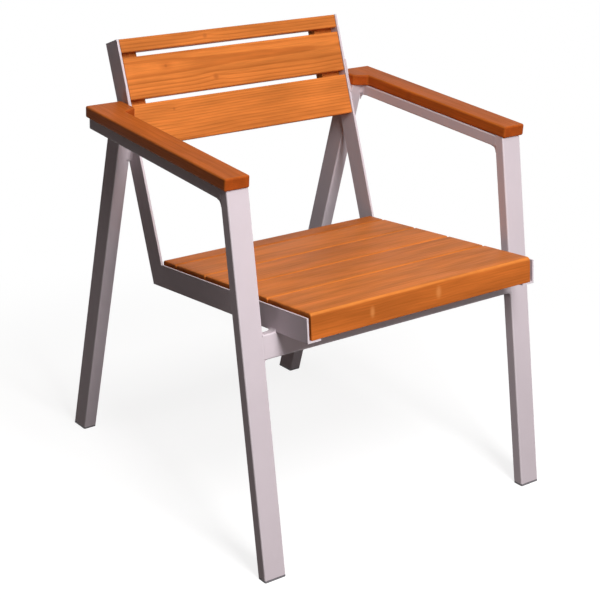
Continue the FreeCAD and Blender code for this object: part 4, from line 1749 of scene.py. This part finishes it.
@dataclass
class Screws:
    """Pan head screws with a hexagon socket, set out by Geometry Nodes.

    Attributes:
        head_radius, head_high: radius and height of the head.
        brow, crown: radius of the head's rounded edge and of its flat top.
        mouth: radius at which the socket's mouth starts.
        socket, socket_deep: half the socket's width, and its depth.
        burr: size of the break at the head's lower edge.
        shank, core: radius over and under the thread.
        pitch, thread_start: step of the thread, and the height at which it starts.
        crest: start and end of a crest as shares of the pitch.
        point, blunt_end: length and end radius of a wood screw's point and of a blunt end.
        segments: sides of each ring.
        sharp: turn of an edge that stays sharp, in degrees.
        seed: seed of the screws' turns.
        arm_x, arm_z, arm_runs: places of the armrest screws under the rails, in the arm's frame.
        seat_x, seat_runs: places of the seat slat screws under the angles' feet, in the seat's frame.
        back_x, back_rises: places of the back slat screws behind the battens, in the back's frame.
        batten_x, batten_y, batten_rises: places of the batten screws' heads, in the back's frame.
    """

    head_radius: float = 0.0045
    head_high: float = 0.0026
    brow: float = 0.0013
    crown: float = 0.0031
    mouth: float = 0.0024
    socket: float = 0.0015
    socket_deep: float = 0.0016
    burr: float = 0.0001
    shank: float = 0.00225
    core: float = 0.0017
    pitch: float = 0.0020
    thread_start: float = 0.001
    crest: Reach = (0.45, 0.6)
    point: Reach = (0.004, 0.0003)
    blunt_end: Reach = (0.0006, 0.0014)
    segments: int = 24
    sharp: float = 35.0
    seed: int = 11
    arm_x: float = 0.280
    arm_z: float = -0.020
    arm_runs: tuple[float, ...] = (0.045, 0.20905, 0.3731)
    seat_x: float = 0.218
    seat_runs: tuple[float, ...] = (
        -0.432, -0.380713, -0.318, -0.273, -0.227, -0.182, -0.136, -0.091, -0.0465,
    )
    back_x: float = 0.211
    back_rises: tuple[float, ...] = (0.409, 0.334, 0.371, 0.253, 0.290)
    batten_x: float = 0.191
    batten_y: float = -0.010
    batten_rises: tuple[float, ...] = (0.3525, 0.2715)

    # Steps round the head's edge
    BROW_STEPS = 5

    def build(self, shop: Workshop) -> None:
        """Lay out all four kinds.

        Args:
            shop: workshop that takes the pieces.
        """
        recipe = self._recipe()
        for row in self._rows():
            pattern = shop.draft(self._screw(row.length, row.blunt))
            spots = points_mesh("screw_places", [place for place, _ in row.places])
            write_layer(spots, "aim", "FLOAT_VECTOR", "POINT", [tuple(aim) for _, aim in row.places])
            item = recipe.run(
                shop, spots, row.name + "_set", Slot.SCREW_STEEL, Screw=pattern, Seed=self.seed
            )
            bpy.data.objects.remove(pattern)
            shop.finish(item, Slot.SCREW_STEEL, row.name)

    def _rows(self) -> list[ScrewRow]:
        """Places of the four kinds, from the frame's local coordinates.

        Returns:
            The four rows.
        """
        signs = [side.value for side in Side]
        up_arm, up_seat = ARM.step(0.0, 0.0, 1.0), SEAT.step(0.0, 0.0, 1.0)
        forward = BACK.step(0.0, -1.0, 0.0)
        arm = [
            (ARM.to_world(s * self.arm_x, run, self.arm_z), up_arm)
            for s in signs for run in self.arm_runs
        ]
        seat = [
            (SEAT.to_world(s * self.seat_x, run, 0.0), up_seat)
            for s in signs for run in self.seat_runs
        ]
        back = [
            (BACK.to_world(s * self.back_x, 0.0, rise), forward)
            for s in signs for rise in self.back_rises
        ]
        batten = [
            (BACK.to_world(s * self.batten_x, self.batten_y, rise), Vector((s, 0.0, 0.0)))
            for s in signs for rise in self.batten_rises
        ]
        return [
            ScrewRow("armrest_screws", length=0.033, places=arm),
            ScrewRow("seat_slat_screws", length=0.031, places=seat),
            ScrewRow("back_slat_screws", length=0.031, places=back),
            ScrewRow("batten_screws", length=0.043, places=batten, blunt=True),
        ]

    def _profile(self, length: float, blunt: bool) -> list[Reach]:
        """Rings of a screw, from the socket's mouth to the tip.

        Args:
            length: length under the head.
            blunt: true for a blunt end.

        Returns:
            Radius and height of each ring.
        """
        rings = [(self.mouth, -self.head_high), (self.crown, -self.head_high)]
        for step in range(1, self.BROW_STEPS + 1):
            angle = math.pi / 2.0 * step / self.BROW_STEPS
            rings.append((
                self.head_radius - self.brow * (1.0 - math.sin(angle)),
                self.brow * (1.0 - math.cos(angle)) - self.head_high,
            ))
        rings += [(self.head_radius, -self.burr), (self.head_radius - self.burr, 0.0), (self.shank, 0.0)]
        height = self.thread_start
        tip, end = self.blunt_end if blunt else self.point
        while height + self.pitch < length - tip:
            rings.append((self.core, height))
            rings += [(self.shank, height + share * self.pitch) for share in self.crest]
            height += self.pitch
        return rings + [(self.core, length - tip), (end, length)]

    def _screw(self, length: float, blunt: bool) -> Mesh:
        """One screw, its head below the origin and its shank up.

        Args:
            length: length under the head.
            blunt: true for a blunt end.

        Returns:
            Its mesh.
        """
        shape = bmesh.new()
        angles = [2.0 * math.pi * step / self.segments for step in range(self.segments)]
        hexagon = [self.socket / math.cos(angle % (math.pi / 3.0) - math.pi / 6.0) for angle in angles]
        rings = [(hexagon, self.socket_deep - self.head_high), (hexagon, -self.head_high)]
        rings += [([radius] * self.segments, height) for radius, height in self._profile(length, blunt)]
        bridge(shape, [
            [
                shape.verts.new((radius * math.cos(angle), radius * math.sin(angle), height))
                for angle, radius in zip(angles, radii)
            ]
            for radii, height in rings
        ])
        bmesh.ops.recalc_face_normals(shape, faces=shape.faces)
        soften(shape, self.sharp)
        return cast(shape, "screw_pattern")

    @staticmethod
    def _recipe() -> GeometryRecipe:
        """Tree that puts a screw at each place, turned along its aim.

        Returns:
            The tree.
        """
        recipe = GeometryRecipe("screw_rows", {"Screw": "Object", "Seed": "Int"})
        pen = recipe.pen
        aim = pen.add("GeometryNodeInputNamedAttribute", {"Name": "aim"}, data_type="FLOAT_VECTOR")
        spin = pen.add("FunctionNodeRandomValue", {"Seed": recipe.given["Seed"]}, data_type="FLOAT")
        limit = next(socket for socket in spin.inputs if socket.name == "Max" and socket.type == "VALUE")
        limit.default_value = math.pi
        turn = next(socket for socket in spin.outputs if socket.type == "VALUE" and socket.enabled)
        spun = pen.add("FunctionNodeEulerToRotation", {0: pen.join(0.0, 0.0, turn)})
        align = pen.add("FunctionNodeAlignRotationToVector", {
            "Rotation": spun.outputs[0], "Vector": aim.outputs[0],
        }, axis="Z")
        recipe.close(recipe.scatter("Screw", Rotation=align.outputs[0]))
        return recipe


@dataclass
class Plugs:
    """Plastic plugs in the feet and the arm rails, kept from the frame.

    Attributes:
        nodes: CAD nodes of one side.
    """

    nodes: tuple[str, ...] = ("front_leg_foot", "rear_leg_foot", "arm_rail_cap")

    def build(self, shop: Workshop) -> None:
        """Give the plugs their moulded finish.

        Args:
            shop: workshop with the CAD nodes.
        """
        for side in Side:
            for node in self.nodes:
                shop.dress_node(side.word + "_" + node, Slot.PLUG_PLASTIC)


@dataclass
class Lamp:
    """Soft rectangular studio lamp with white light.

    Attributes:
        name: name of the lamp.
        place: where it stands.
        target: what it points at.
        size: width and height.
        power: power in watts.
    """

    name: str
    place: Point
    target: Point
    size: tuple[float, float]
    power: float

    def build(self) -> None:
        """Hang the lamp."""
        light = bpy.data.lights.new(self.name, "AREA")
        light.shape = "RECTANGLE"
        light.size, light.size_y = self.size
        light.energy = self.power
        item = bpy.data.objects.new(self.name, light)
        item.location = self.place
        item.rotation_euler = (Vector(self.target) - Vector(self.place)).to_track_quat("-Z", "Y").to_euler()
        bpy.context.scene.collection.objects.link(item)


@dataclass
class Studio:
    """Pale floor, soft lamps, a white surround and the camera.

    Attributes:
        camera_place: where the camera stands.
        camera_yaw, camera_pitch: its turns to the right and up, in degrees.
        lens, sensor: focal length and sensor width in millimetres.
        view_reach: how far it sees.
        ambient, ambient_colour: strength and colour of the even light.
        floor_reach: half the floor's width.
        floor_bounce: colour that the floor throws back on the chair.
        floor_shade, floor_glow: colour that takes the shadow, and the light that lifts it to near white.
        floor_fade: distances between which the floor turns white.
        lamps: the lamps.
    """

    camera_place: Point = (-1.4157, -1.9701, 1.1975)
    camera_yaw: float = 36.1
    camera_pitch: float = -20.1
    lens: float = 85.9
    sensor: float = 36.0
    view_reach: float = 60.0
    ambient: float = 0.058
    ambient_colour: Colour = (1.0, 0.77, 0.69)
    floor_reach: float = 20.0
    floor_bounce: Colour = (0.11, 0.10, 0.095)
    floor_shade: Colour = (0.30, 0.30, 0.30)
    floor_glow: float = 0.85
    floor_fade: Reach = (0.55, 1.25)
    lamps: tuple[Lamp, ...] = (
        Lamp("key_lamp", place=(-0.38, -2.20, 2.25), target=(0.0, -0.1, 0.5), size=(0.8, 1.4), power=75.0),
        Lamp("low_lamp", place=(-0.15, -2.40, 0.75), target=(0.0, -0.3, 0.3), size=(0.6, 0.4), power=5.0),
        Lamp("top_lamp", place=(0.0, -0.6, 2.70), target=(0.0, 0.0, 0.4), size=(1.0, 1.0), power=10.0),
        Lamp("side_lamp", place=(2.3, -1.2, 1.1), target=(0.0, 0.0, 0.4), size=(1.2, 1.2), power=2.0),
    )

    def build(self) -> None:
        """Set up the whole studio."""
        bpy.context.scene.view_settings.view_transform = "Standard"
        for lamp in self.lamps:
            lamp.build()
        self._world()
        self._floor()
        self._camera()

    @staticmethod
    def _seen(pen: NodePen) -> Socket:
        """One for rays from the camera, from a gloss or through glass.

        Args:
            pen: pen of the tree.

        Returns:
            The value.
        """
        path = pen.add("ShaderNodeLightPath").outputs
        seen = pen.math("MAXIMUM", path["Is Camera Ray"], path["Is Glossy Ray"])
        return pen.math("MAXIMUM", seen, path["Is Transmission Ray"])

    def _world(self) -> None:
        """White surround for the eye, and a low even light for the rest."""
        world = bpy.data.worlds.new("white_surround")
        world.use_nodes = True
        bpy.context.scene.world = world
        pen = NodePen(world.node_tree)
        surround = world.node_tree.nodes["Background"]
        pen.feed(surround.inputs["Color"], (1.0, 1.0, 1.0, 1.0))
        fill = pen.add("ShaderNodeBackground", {
            "Color": opaque(self.ambient_colour), "Strength": self.ambient,
        })
        choice = pen.add("ShaderNodeMixShader", {
            0: self._seen(pen), 1: fill.outputs[0], 2: surround.outputs[0],
        })
        pen.feed(world.node_tree.nodes["World Output"].inputs["Surface"], choice.outputs[0])

    def _floor(self) -> None:
        """Pale floor that keeps the chair's soft shadow and turns white further out."""
        reach = self.floor_reach
        mesh = bpy.data.meshes.new("studio_floor")
        corners = [(-reach, -reach, 0.0), (reach, -reach, 0.0), (reach, reach, 0.0), (-reach, reach, 0.0)]
        mesh.from_pydata(corners, [], [(0, 1, 2, 3)])
        floor = Workshop.draft(mesh)
        material = bpy.data.materials.new("pale_floor")
        material.use_nodes = True
        material.node_tree.nodes.clear()
        pen = NodePen(material.node_tree)
        x, y, _ = pen.split(pen.add("ShaderNodeTexCoord").outputs["Object"])
        bounce = pen.add("ShaderNodeBsdfDiffuse", {"Color": opaque(self.floor_bounce)})
        shade = pen.add("ShaderNodeBsdfDiffuse", {"Color": opaque(self.floor_shade)})
        glow = pen.add("ShaderNodeEmission", {"Strength": self.floor_glow})
        near = pen.add("ShaderNodeAddShader", {0: shade.outputs[0], 1: glow.outputs[0]})
        white = pen.add("ShaderNodeEmission")
        spread = pen.add("ShaderNodeMixShader", {
            0: pen.fade(pen.diagonal(x, y), *self.floor_fade), 1: near.outputs[0], 2: white.outputs[0],
        })
        choice = pen.add("ShaderNodeMixShader", {
            0: self._seen(pen), 1: bounce.outputs[0], 2: spread.outputs[0],
        })
        pen.add("ShaderNodeOutputMaterial", {"Surface": choice.outputs[0]})
        mesh.materials.append(material)

    def _camera(self) -> None:
        """Camera at the photograph's viewing angle."""
        data = bpy.data.cameras.new("photo_camera")
        data.lens = self.lens
        data.sensor_width = self.sensor
        data.clip_end = self.view_reach
        item = bpy.data.objects.new("photo_camera", data)
        item.location = self.camera_place
        tilt, turn = math.radians(90.0 + self.camera_pitch), -math.radians(self.camera_yaw)
        item.rotation_euler = Euler((tilt, 0.0, turn), "XYZ")
        bpy.context.scene.collection.objects.link(item)
        bpy.context.scene.camera = item


def main() -> None:
    """Load the frame, build the chair piece by piece and set up the studio."""
    logging.basicConfig(level=logging.INFO, format="%(name)s: %(message)s")
    for leftover in list(bpy.data.objects):
        bpy.data.objects.remove(leftover)
    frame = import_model()
    shop = Workshop(frame)
    for assembly in (SteelFrame(), SeatSlats(), BackSlats(), Armrests(), Screws(), Plugs()):
        assembly.build(shop)
    Studio().build()


if __name__ == "__main__":
    main()
